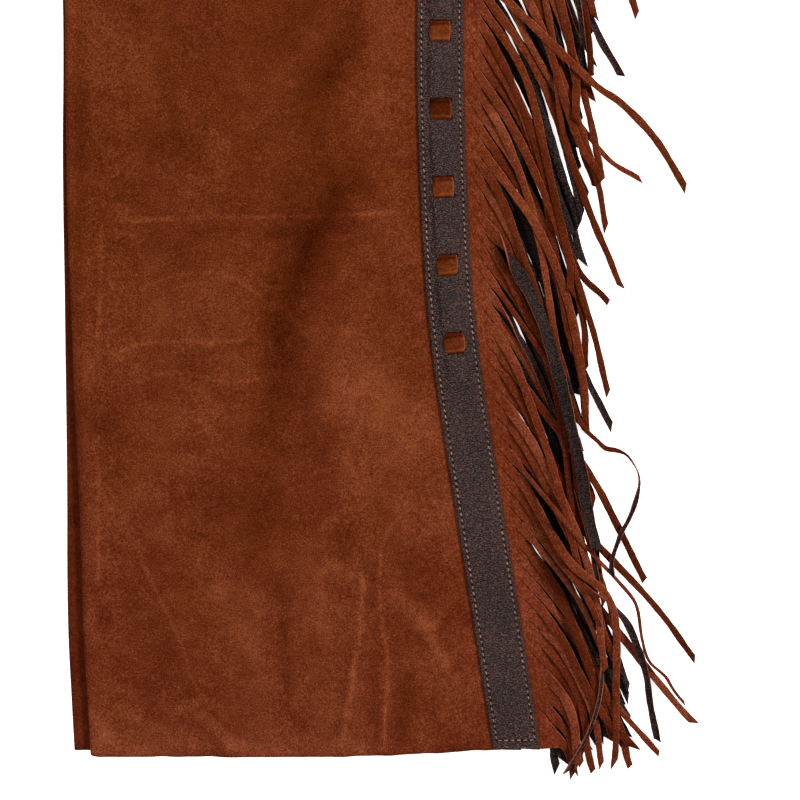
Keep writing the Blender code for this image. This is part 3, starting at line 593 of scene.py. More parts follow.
class Graph:
    """A material's node tree as it is put together."""

    def __init__(self, name: str) -> None:
        """Start a Principled material of that name."""
        self.material = bpy.data.materials.new(name)
        self.material.use_nodes = True
        self.tree = self.material.node_tree
        self.shader = self.tree.nodes["Principled BSDF"]

    def add(self, kind: str, inputs: dict | None = None, **settings: object) -> bpy.types.Node:
        """Add a node.

        Args:
            kind: Its type, without the ShaderNode prefix.
            inputs: Values or sockets for its inputs, by name or index.
            settings: The node's own properties.

        Returns:
            The node.
        """
        node = self.tree.nodes.new("ShaderNode" + kind)
        for key, value in settings.items():
            setattr(node, key, value)
        for key, value in (inputs or {}).items():
            self.set(node, key, value)
        return node

    def set(self, node: bpy.types.Node, key: str | int, value: object) -> None:
        """Set one input of a node to a value, or link a socket to it."""
        if isinstance(value, bpy.types.NodeSocket):
            self.tree.links.new(value, node.inputs[key])
        else:
            node.inputs[key].default_value = value

    def place(self) -> bpy.types.NodeSocket:
        """The point on the object, in metres."""
        return self.add("TexCoord").outputs["Object"]

    def cut(self, across: float, along: float) -> bpy.types.NodeSocket:
        """The place in the flat cut, stretched by a factor each way."""
        uv = self.add("UVMap", uv_map="cut").outputs["UV"]
        return self.add("Mapping", {"Vector": uv, "Scale": (across, along, 1.0)}).outputs[0]

    def tone(self) -> bpy.types.NodeSocket:
        """How pale the mesh says that the point is."""
        return self.add("Attribute", attribute_name="tone").outputs["Fac"]

    def noise(self, at: bpy.types.NodeSocket, scale: float, detail: float = 3.0,
              roughness: float = 0.55, warp: float = 0.0) -> bpy.types.NodeSocket:
        """Soft noise from about 0.3 to 0.7.

        Args:
            at: Where it is read.
            scale: Features a metre.
            detail: Octaves.
            roughness: Weight of the finer ones.
            warp: Distortion.

        Returns:
            The noise's value.
        """
        return self.add("TexNoise", {"Vector": at, "Scale": scale, "Detail": detail,
                                     "Roughness": roughness, "Distortion": warp}).outputs["Fac"]

    def sum(self, *terms: tuple[bpy.types.NodeSocket, float], start: float = 0.0
            ) -> bpy.types.NodeSocket:
        """A weighted sum of sockets.

        Args:
            terms: Pairs of a socket and its weight.
            start: What they are added to.

        Returns:
            The sum.
        """
        total: object = start
        for socket, weight in terms:
            total = self.add("Math", {0: socket, 1: weight, 2: total},
                             operation="MULTIPLY_ADD").outputs[0]
        return total

    def ramp(self, value: bpy.types.NodeSocket, low: float, high: float,
             colours: Sequence[Sequence[float]]) -> bpy.types.NodeSocket:
        """Colours spread evenly between two values.

        Args:
            value: What picks the colour.
            low: The value of the first colour.
            high: The value of the last.
            colours: Linear colours.

        Returns:
            The colour.
        """
        node = self.add("ValToRGB", {"Fac": value})
        stops = node.color_ramp.elements
        for i, colour in enumerate(colours):
            at = low + (high - low) * i / (len(colours) - 1)
            stop = stops[i] if i < 2 else stops.new(at)
            stop.position = at
            stop.color = (*colour, 1.0)
        return node.outputs["Color"]

    def calc(self, operation: str, *inputs: object) -> bpy.types.NodeSocket:
        """The result of one Math node."""
        return self.add("Math", dict(enumerate(inputs)), operation=operation).outputs[0]

    def squares(self, *parts: bpy.types.NodeSocket) -> bpy.types.NodeSocket:
        """The sum of two parts' squares."""
        return self.calc("ADD", *(self.calc("MULTIPLY", part, part) for part in parts))

    def remap(self, value: bpy.types.NodeSocket, low: float, high: float, least: float = 0.0
              ) -> bpy.types.NodeSocket:
        """A value that runs from the least one at low to 1 at high, and no further."""
        return self.add("MapRange", {"Value": value, "From Min": low, "From Max": high,
                                     "To Min": least}).outputs[0]

    def finish(self, inputs: dict[str, object]) -> bpy.types.Material:
        """Set the shader's inputs and hand over the material."""
        for key, value in inputs.items():
            self.set(self.shader, key, value)
        return self.material

    def noise_vector(self, at: bpy.types.NodeSocket, scale: float) -> bpy.types.NodeSocket:
        """Soft noise that differs on each axis."""
        return self.add("TexNoise", {"Vector": at, "Scale": scale, "Detail": 2.0}
                        ).outputs["Color"]

    def curve(self, share: bpy.types.NodeSocket, stops: Sequence[tuple[float, float]]
              ) -> bpy.types.NodeSocket:
        """A value read from a smooth curve.

        Args:
            share: Where on the curve, from 0 to 1.
            stops: Points of the curve.

        Returns:
            The curve's value there.
        """
        node = self.add("FloatCurve", {"Value": share})
        points = node.mapping.curves[0].points
        for i, stop in enumerate(stops):
            if i < 2:
                points[i].location = stop
            else:
                points.new(*stop)
        node.mapping.update()
        return node.outputs[0]

    def bump(self, height: bpy.types.NodeSocket, depth: float, strength: float = 1.0
             ) -> bpy.types.NodeSocket:
        """A bumped normal.

        Args:
            height: Height from 0 to 1.
            depth: What a height of 1 is, in millimetres.
            strength: Share of it that shows.

        Returns:
            The normal.
        """
        return self.add("Bump", {"Height": height, "Distance": depth * MM,
                                 "Strength": strength}).outputs["Normal"]


Shade = tuple[float, float, float]


def seen(red: float, green: float, blue: float) -> Shade:
    """The reflectance that shows as a colour, out of 255, in the studio's light."""
    return tuple(((c / 255 / 12.92) if c <= 10 else ((c / 255 + 0.055) / 1.055) ** 2.4) / LIGHT
                 for c in (red, green, blue))


@dataclass(frozen=True)
class Suede:
    """Napped side of the hide: mottled, brushed and matt.

    Each shade is a pair, where the dye has stayed tawny and where it has gone ruddy.
    """

    name: str
    dark: tuple[Shade, Shade]
    middle: tuple[Shade, Shade]
    pale: tuple[Shade, Shade]
    mottle: float = 1.1
    clumps: float = 0.5
    nap: float = 0.75
    streaks: float = 0.0
    # Painted highlight: how much paler the cut's edges are drawn, as a rim of light
    edge: float = 0.0
    depth: float = 0.22
    lines: bool = False

    def build(self) -> bpy.types.Material:
        """Make the material."""
        g = Graph(self.name)
        at = g.place()
        large = g.noise(at, 13.0, 3.0, 0.5)
        mid = g.noise(at, 75.0, 4.0, 0.62, 0.4)
        clump = g.noise(at, 300.0, 3.0, 0.6, 1.2)
        nap = g.noise(at, 1150.0, 3.0, 0.7)
        terms = [(large, self.mottle), (mid, self.mottle * 0.75), (clump, self.clumps),
                 (nap, self.nap), (g.tone(), 0.20)]
        start = 0.5 - 0.5 * (self.mottle * 1.75 + self.clumps + self.nap)
        heights = [(nap, 1.0), (mid, 0.8), (clump, 0.5)]
        if self.streaks:
            brushed = g.noise(g.cut(0.006, 0.22), 1500.0, 3.0, 0.6)
            terms.append((brushed, self.streaks))
            heights.append((brushed, 1.2))
            start -= 0.5 * self.streaks
        # Painted highlight along both edges of the cut
        if self.edge:
            across = g.add("SeparateXYZ", {0: g.cut(1.0, 1.0)}).outputs[0]
            off = g.calc("ABSOLUTE", g.calc("SUBTRACT", across, 0.5))
            terms.append((g.remap(off, 0.41, 0.5), self.edge))
        if self.lines:
            terms += self.thin_lines(g, at)
        value = g.sum(*terms, start=start)
        tawny, ruddy = (g.ramp(value, 0.22, 0.78, (self.dark[i], self.middle[i], self.pale[i]))
                        for i in (0, 1))
        hue = g.sum((g.noise(at, 21.0, 4.0, 0.6), 1.6), (self.toward_hem(g, at), 0.45),
                    start=-0.62)
        colour = g.add("Mix", {0: hue, 6: tawny, 7: ruddy}, data_type="RGBA").outputs[2]
        return g.finish({"Base Color": colour, "Roughness": 0.92, "Specular IOR Level": 0.0,
                         "Sheen Weight": 0.03, "Sheen Roughness": 0.5,
                         "Sheen Tint": (0.75, 0.42, 0.28, 1.0),
                         "Normal": g.bump(g.sum(*heights), self.depth)})

    @staticmethod
    def toward_hem(g: Graph, at: bpy.types.NodeSocket) -> bpy.types.NodeSocket:
        """A value that rises to 1 at the hem, where the suede has gone ruddier."""
        height = g.add("SeparateXYZ", {0: at}).outputs[1]
        hem = ORIGIN.y * MM
        return g.remap(height, hem + 0.36, hem)

    @staticmethod
    def thin_lines(g: Graph, at: bpy.types.NodeSocket
                   ) -> list[tuple[bpy.types.NodeSocket, float]]:
        """Thin pale lines that bends have left, broken up by the nap.

        Args:
            g: The node tree.
            at: The point on the object.

        Returns:
            Each line's value and strength.
        """
        moved = g.add("VectorMath", {0: g.noise_vector(at, 60.0), 1: (0.002, 0.002, 0.0),
                                     2: at}, operation="MULTIPLY_ADD").outputs[0]
        place = g.add("SeparateXYZ", {0: moved})
        patchy = g.remap(g.noise(at, 70.0, 3.0, 0.6), 0.30, 0.70, 0.15)
        terms = []
        for marks, run, cross in ((UPRIGHT_LINES, 1, 0), (LEVEL_LINES, 0, 1)):
            for mark in marks:
                ends = [point[run] for point in (mark.line[0], mark.line[-1])]
                low, high = ((end + ORIGIN[run] + 1.0) * MM for end in ends)
                share = g.remap(place.outputs[run], low, high)
                stops = [((point[run] - ends[0]) / (ends[1] - ends[0]), point[cross] / 1000)
                         for point in mark.line]
                line = g.curve(share, stops)
                gone = g.calc("SUBTRACT", place.outputs[cross],
                              g.calc("ADD", line, (ORIGIN[cross] + 1.0) * MM))
                wide = g.calc("DIVIDE", gone, mark.width * MM)
                bell = g.calc("EXPONENT", g.calc("MULTIPLY", g.calc("MULTIPLY", wide, wide), -1.0))
                fade = g.calc("MULTIPLY", share, g.calc("SUBTRACT", 1.0, share))
                shown = g.remap(fade, 0.0, 0.05)
                terms.append((g.calc("MULTIPLY", g.calc("MULTIPLY", bell, shown), patchy),
                              mark.strength * 0.34))
        return terms


@dataclass(frozen=True)
class Grain:
    """Pebbled side of the hide: dark, with fine cells and a low gloss."""

    name: str
    crevice: Shade
    pebble: Shade
    cells: float = 840.0
    depth: float = 0.42
    roughness: float = 0.42
    squash: float = 1.5
    gloss: float = 0.2

    def build(self) -> bpy.types.Material:
        """Make the material."""
        g = Graph(self.name)
        at = g.place()
        drift = g.noise_vector(at, 260.0)
        moved = g.add("VectorMath", {0: drift, 1: (0.0016, 0.0016, 0.0016), 2: at},
                      operation="MULTIPLY_ADD").outputs[0]
        flat = g.add("Mapping", {"Vector": moved, "Scale": (1.0, self.squash, 1.0)}).outputs[0]
        cell = g.add("TexVoronoi", {"Vector": flat, "Scale": self.cells, "Smoothness": 0.12},
                     feature="SMOOTH_F1").outputs["Distance"]
        dome = g.remap(cell, 0.75, 0.1)
        wrinkle = g.noise(flat, self.cells * 0.8, 3.0, 0.6, 0.5)
        large = g.noise(at, 30.0, 3.0, 0.5)
        value = g.sum((dome, 0.9), (wrinkle, 0.7), (large, 0.5), (g.tone(), 0.2), start=-0.55)
        height = g.sum((dome, 1.1), (wrinkle, 1.0))
        value, height = self.pierce(g, value, height)
        colour = g.ramp(value, 0.22, 0.74, (self.crevice, self.pebble))
        return g.finish({"Base Color": colour, "Roughness": self.roughness,
                         "Specular IOR Level": self.gloss,
                         "Normal": g.bump(height, self.depth)})

    def pierce(self, g: Graph, value: bpy.types.NodeSocket, height: bpy.types.NodeSocket
               ) -> tuple[bpy.types.NodeSocket, bpy.types.NodeSocket]:
        """Leave the leather whole; leather that is sewn has its needle holes here."""
        return value, height


@dataclass(frozen=True)
class StitchedGrain(Grain):
    """Pebbled leather with the needle holes of the strip's stitching in its cut."""

    hole: float = 0.85

    def pierce(self, g: Graph, value: bpy.types.NodeSocket, height: bpy.types.NodeSocket
               ) -> tuple[bpy.types.NodeSocket, bpy.types.NodeSocket]:
        """Sink a hole between every two stitches: a dip in the bump, with painted shade in it.

        Args:
            g: The node tree.
            value: What picks the colour.
            height: The bump's height.

        Returns:
            Both, with the holes in them.
        """
        cut = g.add("SeparateXYZ", {0: g.cut(1000.0, 1000.0)})
        across = cut.outputs[0]
        along = g.calc("SUBTRACT", cut.outputs[1], STRIP_LOW + STITCH_CROSS)
        beside = g.calc("SUBTRACT", g.calc("ABSOLUTE", across), SEAM_LINE)
        step = g.calc("PINGPONG", along, STITCH_PITCH / 2)
        rows = g.squares(beside, step)
        below = g.calc("MULTIPLY", g.calc("LESS_THAN", along, -0.5), FAR)
        pitch = 2 * SEAM_LINE / int(2 * SEAM_LINE / STITCH_PITCH)
        from_side = g.calc("ADD", across, SEAM_LINE)
        turn = g.calc("PINGPONG", from_side, pitch / 2)
        row = g.squares(along, turn)
        outside = g.calc("MULTIPLY", g.calc("GREATER_THAN", beside, 0.5), FAR)
        near = g.calc("MINIMUM", g.calc("ADD", rows, below), g.calc("ADD", row, outside))
        bore = g.remap(near, self.hole ** 2, (self.hole * 0.45) ** 2)
        return g.sum((bore, -1.3), (value, 1.0)), g.sum((bore, -1.6), (height, 1.0))


@dataclass(frozen=True)
class PunchedGrain(Grain):
    """Pebbled leather with a row of punched holes at the strap's tip in its cut."""

    hole: float = 1.9
    pitch: float = 25.0

    def pierce(self, g: Graph, value: bpy.types.NodeSocket, height: bpy.types.NodeSocket
               ) -> tuple[bpy.types.NodeSocket, bpy.types.NodeSocket]:
        """Sink holes along the middle of the cut: dips in the bump, with painted shade in them.

        Args:
            g: The node tree.
            value: What picks the colour.
            height: The bump's height.

        Returns:
            Both, with the holes in them.
        """
        cut = g.add("SeparateXYZ", {0: g.cut(1000.0, 1000.0)})
        across, from_tip = cut.outputs[0], cut.outputs[1]
        along = g.calc("PINGPONG", from_tip, self.pitch / 2)
        apart = g.squares(across, along)
        punched = g.calc("MULTIPLY", g.calc("GREATER_THAN", from_tip, self.pitch / 2),
                         g.calc("LESS_THAN", from_tip, self.pitch * 5.5))
        bore = g.remap(apart, self.hole ** 2, (self.hole * 0.75) ** 2)
        bore = g.calc("MULTIPLY", bore, punched)
        return g.sum((bore, -2.0), (value, 1.0)), g.sum((bore, -3.0), (height, 1.0))


@dataclass(frozen=True)
class Thread:
    """Waxed sewing thread with a fine twist."""

    name: str
    dark: Shade
    pale: Shade

    def build(self) -> bpy.types.Material:
        """Make the material."""
        g = Graph(self.name)
        at = g.place()
        twist = g.noise(at, 1600.0, 2.0, 0.6, 1.0)
        shade = g.noise(at, 160.0, 2.0, 0.5)
        value = g.sum((twist, 0.9), (shade, 1.1), start=-0.5)
        return g.finish({"Base Color": g.ramp(value, 0.25, 0.75, (self.dark, self.pale)),
                         "Roughness": 0.7, "Normal": g.bump(twist, 0.12)})


@dataclass(frozen=True)
class Metal:
    """Cast buckle metal, brushed and a little worn."""

    name: str
    dark: Shade
    bright: Shade

    def build(self) -> bpy.types.Material:
        """Make the material."""
        g = Graph(self.name)
        at = g.place()
        cloud = g.noise(at, 90.0, 4.0, 0.6)
        fine = g.noise(at, 1400.0, 3.0, 0.7)
        value = g.sum((cloud, 1.2), (fine, 0.4), start=-0.3)
        return g.finish({"Base Color": g.ramp(value, 0.3, 0.7, (self.dark, self.bright)),
                         "Metallic": 1.0,
                         "Roughness": g.sum((cloud, 0.35), (fine, 0.2), start=0.06),
                         "Normal": g.bump(fine, 0.03)})


class Finishes:
    """Every finish of the chaps, made once."""

    def __init__(self) -> None:
        """Make the materials."""
        self.suede = Suede("suede", (seen(58, 17, 0), seen(61, 16, 5)),
                           (seen(107, 45, 18), seen(112, 46, 25)),
                           (seen(160, 86, 48), seen(168, 90, 60)),
                           mottle=0.34, clumps=0.23, nap=1.02, lines=True).build()
        self.suede_under = Suede("suede_under", (seen(60, 19, 2), seen(62, 18, 6)),
                                 (seen(110, 45, 18), seen(114, 45, 25)),
                                 (seen(156, 82, 48), seen(160, 82, 58)),
                                 mottle=0.35, clumps=0.3).build()
        self.square = Suede("suede_square", (seen(40, 9, 0), seen(44, 11, 2)),
                            (seen(86, 32, 8), seen(92, 34, 14)),
                            (seen(140, 72, 34), seen(146, 74, 44)),
                            mottle=0.3, clumps=0.3, nap=0.7).build()
        # Its edge setting paints a highlight along each strand's cut edges
        self.strand = Suede("suede_strand", (seen(62, 21, 6), seen(66, 21, 9)),
                            (seen(112, 46, 20), seen(116, 47, 26)),
                            (seen(170, 96, 62), seen(176, 96, 72)),
                            mottle=0.26, clumps=0.26, nap=0.95, streaks=0.45,
                            edge=0.26).build()
        self.grain = PunchedGrain("grain", seen(30, 14, 12), seen(86, 57, 51)).build()
        self.strip_grain = StitchedGrain("grain_stitched", seen(27, 10, 8),
                                         seen(98, 64, 57), cells=630.0, depth=0.75,
                                         roughness=0.40, gloss=0.27, squash=1.8).build()
        self.grain_back = Grain("grain_back", seen(12, 3, 2), seen(70, 45, 38),
                                cells=700.0, depth=0.35, roughness=0.5, gloss=0.09).build()
        self.thread = Thread("thread", seen(96, 58, 42), seen(190, 134, 104)).build()
        self.metal = Metal("metal", seen(96, 88, 78), seen(176, 168, 156)).build()


# Leg panels

@dataclass
class LegPanels:
    """Fronts and backs of both legs, each one sheet of suede."""

    finishes: Finishes
    lip: float = 18.0
    fine_row: float = 2.6
    plain_row: float = 8.0
    fine_column: float = 2.7
    cuts: dict[str, tuple[float, float, float]] = field(default_factory=dict)

    def rows(self, low: float, high: float) -> list[float]:
        """Heights of the grid's rows, close together below mid thigh.

        Args:
            low: The first row.
            high: The last row.

        Returns:
            The heights.
        """
        close = np.arange(low, PHOTO_TOP, self.fine_row)
        count = int((high - PHOTO_TOP) / self.plain_row) + 1
        marks = [y for y in (CROTCH, *FRONT_Y[1:], RAMP_LOW, RAMP_HIGH) if y < high]
        rest = np.linspace(PHOTO_TOP, high, count)
        return sorted({round(float(y), 2) for y in [*close, *rest, *marks]})

    def hem(self, x: float, y: float, phase: float) -> float:
        """How far the raw hem wanders up or down at a point near it.

        Args:
            x: Plan X.
            y: Height of the row.
            phase: Shift of the wander along the hem.

        Returns:
            The lift in Y.
        """
        near = max(1 - y / 18, 0)
        wave = 0.35 * math.sin(x / 17 + phase) + 0.22 * math.sin(x / 5.3 + 2 * phase)
        return wave * near + 0.1 * math.sin(x * 1.9) * max(1 - y / 4, 0)

    def front_profile(self, y: float, columns: int) -> list[tuple[float, float]]:
        """Outer face of the upper front, from its turned-under lip to the seam.

        Args:
            y: Height of the row.
            columns: Points over the lay.

        Returns:
            Points in X and Z.
        """
        left = inner_edge(y)
        right = strip_point(y, SEAM_OUT)[0]
        above = past_crotch(y)
        roll = 2.2 - 0.6 * above
        settle = 12 - 3 * above
        base = UPPER_BACK + ramp(y)
        mid = base + roll
        lay = base + HIDE + GAP + HIDE
        points = [(x, base) for x in np.linspace(left + self.lip - 10 * above, left + roll, 4)]
        points += arc(left + roll, mid, roll, 270, 90, 10)[1:]
        for x in np.linspace(left + roll, right, columns + 1)[1:]:
            drop = smoothstep((x - left - roll) / (settle - roll))
            points.append((x, mid + roll + (lay - mid - roll) * drop + relief(x, y)))
        return points

    def make_left_front(self) -> bpy.types.Object:
        """The upper leg's front, with its creases, scuffs, painted shade along its fold and in a
        trough, and raw hem.
        """
        columns = int(285 / self.fine_column)
        heights = self.rows(0.0, PANEL_END)
        points = []
        for y in heights:
            profile = self.front_profile(y, columns)
            lift = [4.5 * smoothstep((x - 215) / 110) * max(1 - y / 60, 0)
                    + self.hem(x, y, 0.7) for x, _ in profile]
            points.append([(x, y + max(up, -y), z) for (x, z), up in zip(profile, lift)])
        points = self.round_corner(np.array(points), heights)
        # Pale and dark marks; some of the dark ones are painted shade
        tones = marks_at(points)
        # Painted shade: the turned-under lip and the outer side of the rolled fold are drawn darker
        tones[:, :9] = -0.5
        mesh = Mesh("front_left")
        mesh.sheet(points, tone=tones)
        piece = mesh.finish([self.finishes.suede], "suede", HIDE)
        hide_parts("leg_left_front")
        return self.declare(piece, points)

    def round_corner(self, points: np.ndarray, heights: list[float]) -> np.ndarray:
        """Ease the hem's corner at the inner fold upward.

        Args:
            points: The grid.
            heights: Heights of its rows.

        Returns:
            The changed grid.
        """
        for j, y in enumerate(heights):
            if y > 12:
                break
            near = np.maximum(1 - (points[j, :, 0] - points[j, 6, 0]) / 7.0, 0)
            points[j, :, 1] += 1.3 * near ** 2 * (1 - y / 12)
        return points

    def make_right_front(self) -> bpy.types.Object:
        """The leg beneath: its front on the floor and its fold turned up over it."""
        roll = HIDE + GAP / 2
        heights = self.rows(4.0, PANEL_END)[::2]
        points = []
        for y in heights:
            left = inner_edge(y, "under")
            shift = offset_of_lower_leg(y)
            right = strip_point(y, SEAM_OUT)[0] - shift - 0.4
            lip = self.lip - 10 * past_crotch(y)
            row = [(x, 2 * roll) for x in np.linspace(left + lip, left + roll, 7)]
            row += arc(left + roll, roll, roll, 90, 270, 10)[1:]
            row += [(x, 0.0) for x in np.linspace(left + roll, right, 30)[1:]]
            points.append([(x, y + max(self.hem(x, y - 4.0, 2.9), -0.3), z) for x, z in row])
        points = np.array(points)[:, ::-1]
        mesh = Mesh("front_right")
        # Painted shade: the whole leg beneath is drawn darker, as it lies in the upper leg's shadow
        mesh.sheet(points, tone=-0.6)
        piece = mesh.finish([self.finishes.suede_under], "suede", HIDE)
        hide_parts("folded_layers")
        return self.declare(piece, points)

    def make_back(self, name: str, level: float, fold: str, drop: float) -> bpy.types.Object:
        """A back panel, flat between the layers.

        Args:
            name: Name of the piece.
            level: Its underside.
            fold: Column of the leg table that it starts from.
            drop: How much lower its top edge lies than the deepest one.

        Returns:
            The piece.
        """
        low = 4.9 if fold == "under" else 5.9
        points = []
        for y in np.linspace(low, PANEL_END - 0.4 - drop, 120):
            top_edge = float(np.interp(y, (742, 772, 832, 922, 962), (0, 70, 150, 272, 292)))
            left = max(leg(fold, y) + self.lip + 0.6, top_edge + drop)
            shift = offset_of_lower_leg(y) if fold == "under" else 0.0
            right = strip_point(y, SEAM_OUT)[0] - shift - 1.3
            points.append([(x, y, level + HIDE) for x in np.linspace(left, right, 24)])
        points = np.array(points)
        mesh = Mesh(name)
        mesh.sheet(points)
        piece = mesh.finish([self.finishes.suede_under], "suede", HIDE)
        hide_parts("folded_layers")
        return self.declare(piece, points)

    def declare(self, piece: bpy.types.Object, points: np.ndarray) -> bpy.types.Object:
        """Keep the width, length and area of a panel's flat cut, for the log.

        Args:
            piece: The panel.
            points: Its grid, whose rows run across the cut.

        Returns:
            The piece.
        """
        across = np.linalg.norm(np.diff(points, axis=1), axis=2).sum(axis=1)
        along = points[:, -1, 1]
        area = float(((across[1:] + across[:-1]) / 2 * np.diff(along)).sum())
        spread = points[:, :, 0].max() - points[:, :, 0].min()
        width = max(across.max(), spread + 2 * self.lip)
        length = float(along[-1] - along[0] + 5)
        self.cuts[piece.name] = (width, length, area)
        return piece

    def build(self) -> list[bpy.types.Object]:
        """Make all four panels."""
        return [self.make_right_front(),
                self.make_back("back_right", LOWER_BACK, "under", 1.0),
                self.make_back("back_left", UPPER_BACK, "inner", 3.0),
                self.make_left_front()]


# Strip, lace and stitching

def square_centres() -> list[float]:
    """Heights of the lace squares along the strip."""
    return [SQUARE_FIRST + SQUARE_STEP * i for i in range(SQUARE_COUNT)]


def lace_near(y: float) -> float:
    """How fully the lace runs under the strip at a height, from 0 to 1."""
    centres = square_centres()
    if y < centres[0] - LACE_TAIL - 8 or y > centres[-1] + LACE_TAIL + 8:
        return 0.0
    ends = min((y - centres[0] + LACE_TAIL + 8) / 9, (centres[-1] + LACE_TAIL + 8 - y) / 9)
    return smoothstep(ends)


@dataclass
class Strip:
    """Dark strip over the outer seam, its lace squares and its stitching."""

    finishes: Finishes
    slot_half: float = 7.1
    columns: tuple[float, ...] = (
        -15.0, -14.4, -13.4, -12.6, -12.1, -11.6, -10.6, -9.2, -7.9, -7.1, -5.4, -3.2, -1.1,
        1.1, 3.2, 5.4, 7.1, 7.9, 9.2, 10.6, 11.6, 12.1, 12.6, 13.4, 14.4, 15.0)

    def rise(self, y: float, across: float) -> float:
        """Height of the strip's underside over the panel's top.

        Args:
            y: Height above the hem.
            across: Distance right of its middle.

        Returns:
            The rise.
        """
        lace = GAP + LACE
        band = 1 - smoothstep((abs(across) - 5.2) / 4.2)
        dip = min([abs(y - c) for c in square_centres()])
        sunk = smoothstep((dip - SLOT_IN + 1.5) / 2.2)
        middle = lace * band * lace_near(y) * (0.0 if dip < SLOT_IN - 0.3 else sunk)
        puff = 0.6 * band * math.sin(math.pi * (y - SQUARE_FIRST) / SQUARE_STEP) ** 2
        side = (STRAND + GAP) * smoothstep((across + 3.5) / 13.0)
        groove = 0.28 * math.exp(-((abs(across) - SEAM_LINE) / 0.55) ** 2)
        edge = 0.22 * smoothstep((abs(across) - 14.2) / 0.8)
        return GAP + max(middle + puff * lace_near(y), side) - min(groove + edge, GAP)

    def row_heights(self) -> list[float]:
        """Heights of the strip's rows, with one at each end of every slot."""
        ys = set(np.round(np.arange(STRIP_LOW, STRIP_HIGH, 3.1), 2))
        for c in square_centres():
            ys = {y for y in ys if not c - SLOT_OUT - 1.6 < y < c + SLOT_OUT + 1.6}
            ys |= {round(c + d, 3) for d in (-SLOT_OUT, -SLOT_IN, -1.5, 1.5, SLOT_IN, SLOT_OUT)}
        return sorted(float(y) for y in ys | {STRIP_HIGH})

    def make_strip(self) -> bpy.types.Object:
        """The strip itself, with a slot at each side of every square."""
        points = []
        heights = self.row_heights()
        for y in heights:
            row = []
            for across in self.columns:
                px, py = strip_point(y, across)
                row.append((px, py, PANEL_TOP + ramp(y) + self.rise(y, across) + TRIM))
            points.append(row)
        cut = np.stack(np.meshgrid(self.columns, heights), axis=2) * MM
        mesh = Mesh("outer_strip")
        verts = mesh.sheet(np.array(points), cut)
        slots = []
        for face in {f for v in verts for f in v.link_faces}:
            at = face.calc_center_median()
            for c in square_centres():
                px, _ = strip_point(c, 0.0)
                reach = abs(at.y - c - (px - at.x) * 0.12)
                if abs(at.x - px) < self.slot_half - 0.6 and SLOT_IN < reach < SLOT_OUT:
                    slots.append(face)
        bmesh.ops.delete(mesh.bm, geom=list(set(slots)), context="FACES")
        piece = mesh.finish([self.finishes.strip_grain], "grain_leather", TRIM - 0.05,
                            angle=50)
        bevel_edges(piece, 0.35, 2, 60)
        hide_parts("side_strip")
        return piece

    def make_lace(self) -> bpy.types.Object:
        """Suede lace woven through the strip, pillowed where it comes up as a square."""
        dice = random.Random(LACE_SEED)
        under = PANEL_TOP + GAP + LACE - 0.05
        centres = square_centres()
        mesh = Mesh("side_lace_suede")
        columns = np.array([-1, -0.94, -0.8, -0.55, -0.25, 0.0, 0.25, 0.55, 0.8, 0.94, 1.0])
        rows: list[tuple[float, ...]] = []
        for i, c in enumerate(centres):
            low = centres[0] - LACE_TAIL if i == 0 else c - SQUARE_STEP / 2
            high = centres[-1] + LACE_TAIL if i == len(centres) - 1 else c + SQUARE_STEP / 2
            turn = dice.uniform(-0.05, 0.05)
            lift = dice.uniform(-0.12, 0.12)
            shade = random.Random(i + SHADE_SEED).uniform(-0.4, 1.5)
            rows += [(y, 0.0, 0.0, 0.0, 0.0) for y in np.linspace(low, c - SLOT_OUT - 1.0, 5)[:-1]]
            for t in np.linspace(-1, 1, 23):
                rise = smoothstep((1 - abs(t)) * 4.2)
                y = c + t * (SLOT_OUT - 0.25)
                rows.append((y, rise, turn, lift, shade))
            rows += [(y, 0.0, 0.0, 0.0, 0.0) for y in np.linspace(c + SLOT_OUT + 1.0, high, 5)[:-1]]
        points = []
        tones = []
        for y, rise, turn, lift, shade in rows:
            near = min(centres, key=lambda c: abs(c - y))
            t = (y - near) / SLOT_OUT
            row = []
            tone = []
            for s in columns:
                barrel = 1 + rise * 0.05 * (1 - 2.0 * min(abs(t) / 0.7, 1) ** 2)
                px, py = strip_point(y, s * LACE_HALF * barrel)
                crown = (1 - s ** 4) * (1 - min(abs(t), 1) ** 4)
                over = TRIM + GAP + 0.7 * crown + lift * s * 0.5
                droop = 0.5 * smoothstep((abs(s) - 0.8) / 0.2) * rise
                z = under + over * rise - droop
                row.append((px, py + turn * s * LACE_HALF * rise, z))
                # Painted light on each square: a painted highlight along its right edge, its
                # lower-left corner and its lower end, and painted shade towards its top; shade is
                # the square's own random tone
                tone.append(rise * (shade + 1.5 * smoothstep((s - 0.84) / 0.12)
                                    + 0.9 * smoothstep((-s - 0.86) / 0.1) * smoothstep(0.3 - t)
                                    + 0.7 * smoothstep((-t - 0.52) / 0.1)
                                    - 0.9 * smoothstep((t - 0.40) / 0.15)
                                    + 0.4 * smoothstep((t - 0.60) / 0.08)))
            points.append(row)
            tones.append(tone)
        mesh.sheet(np.array(points), tone=np.array(tones))
        piece = mesh.finish([self.finishes.square], "lace_suede", LACE - 0.1, angle=60)
        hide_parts("side_lace")
        return piece

    def stitch_places(self) -> list[tuple[float, float, float, float]]:
        """Where the stitches lie: X, Y, Z and the way that each one points."""
        places = []
        low = STRIP_LOW + STITCH_CROSS
        count = int((PANEL_END - 4 - low) / STITCH_PITCH)
        for across in (-SEAM_LINE, SEAM_LINE):
            for i in range(count):
                y = low + STITCH_PITCH * (i + 0.5)
                x, py = strip_point(y, across)
                above_x, above_y = strip_point(y + 2, across)
                way = math.atan2(above_y - py, above_x - x)
                top = PANEL_TOP + ramp(y) + self.rise(y, across) + TRIM
                places.append((x, py, top, way + 0.26))
        cross = int(2 * SEAM_LINE / STITCH_PITCH)
        for i in range(cross):
            across = -SEAM_LINE + (i + 0.5) * 2 * SEAM_LINE / cross
            x, py = strip_point(low, across)
            top = PANEL_TOP + self.rise(low, across) + TRIM
            places.append((x, py, top, 0.12))
        return places

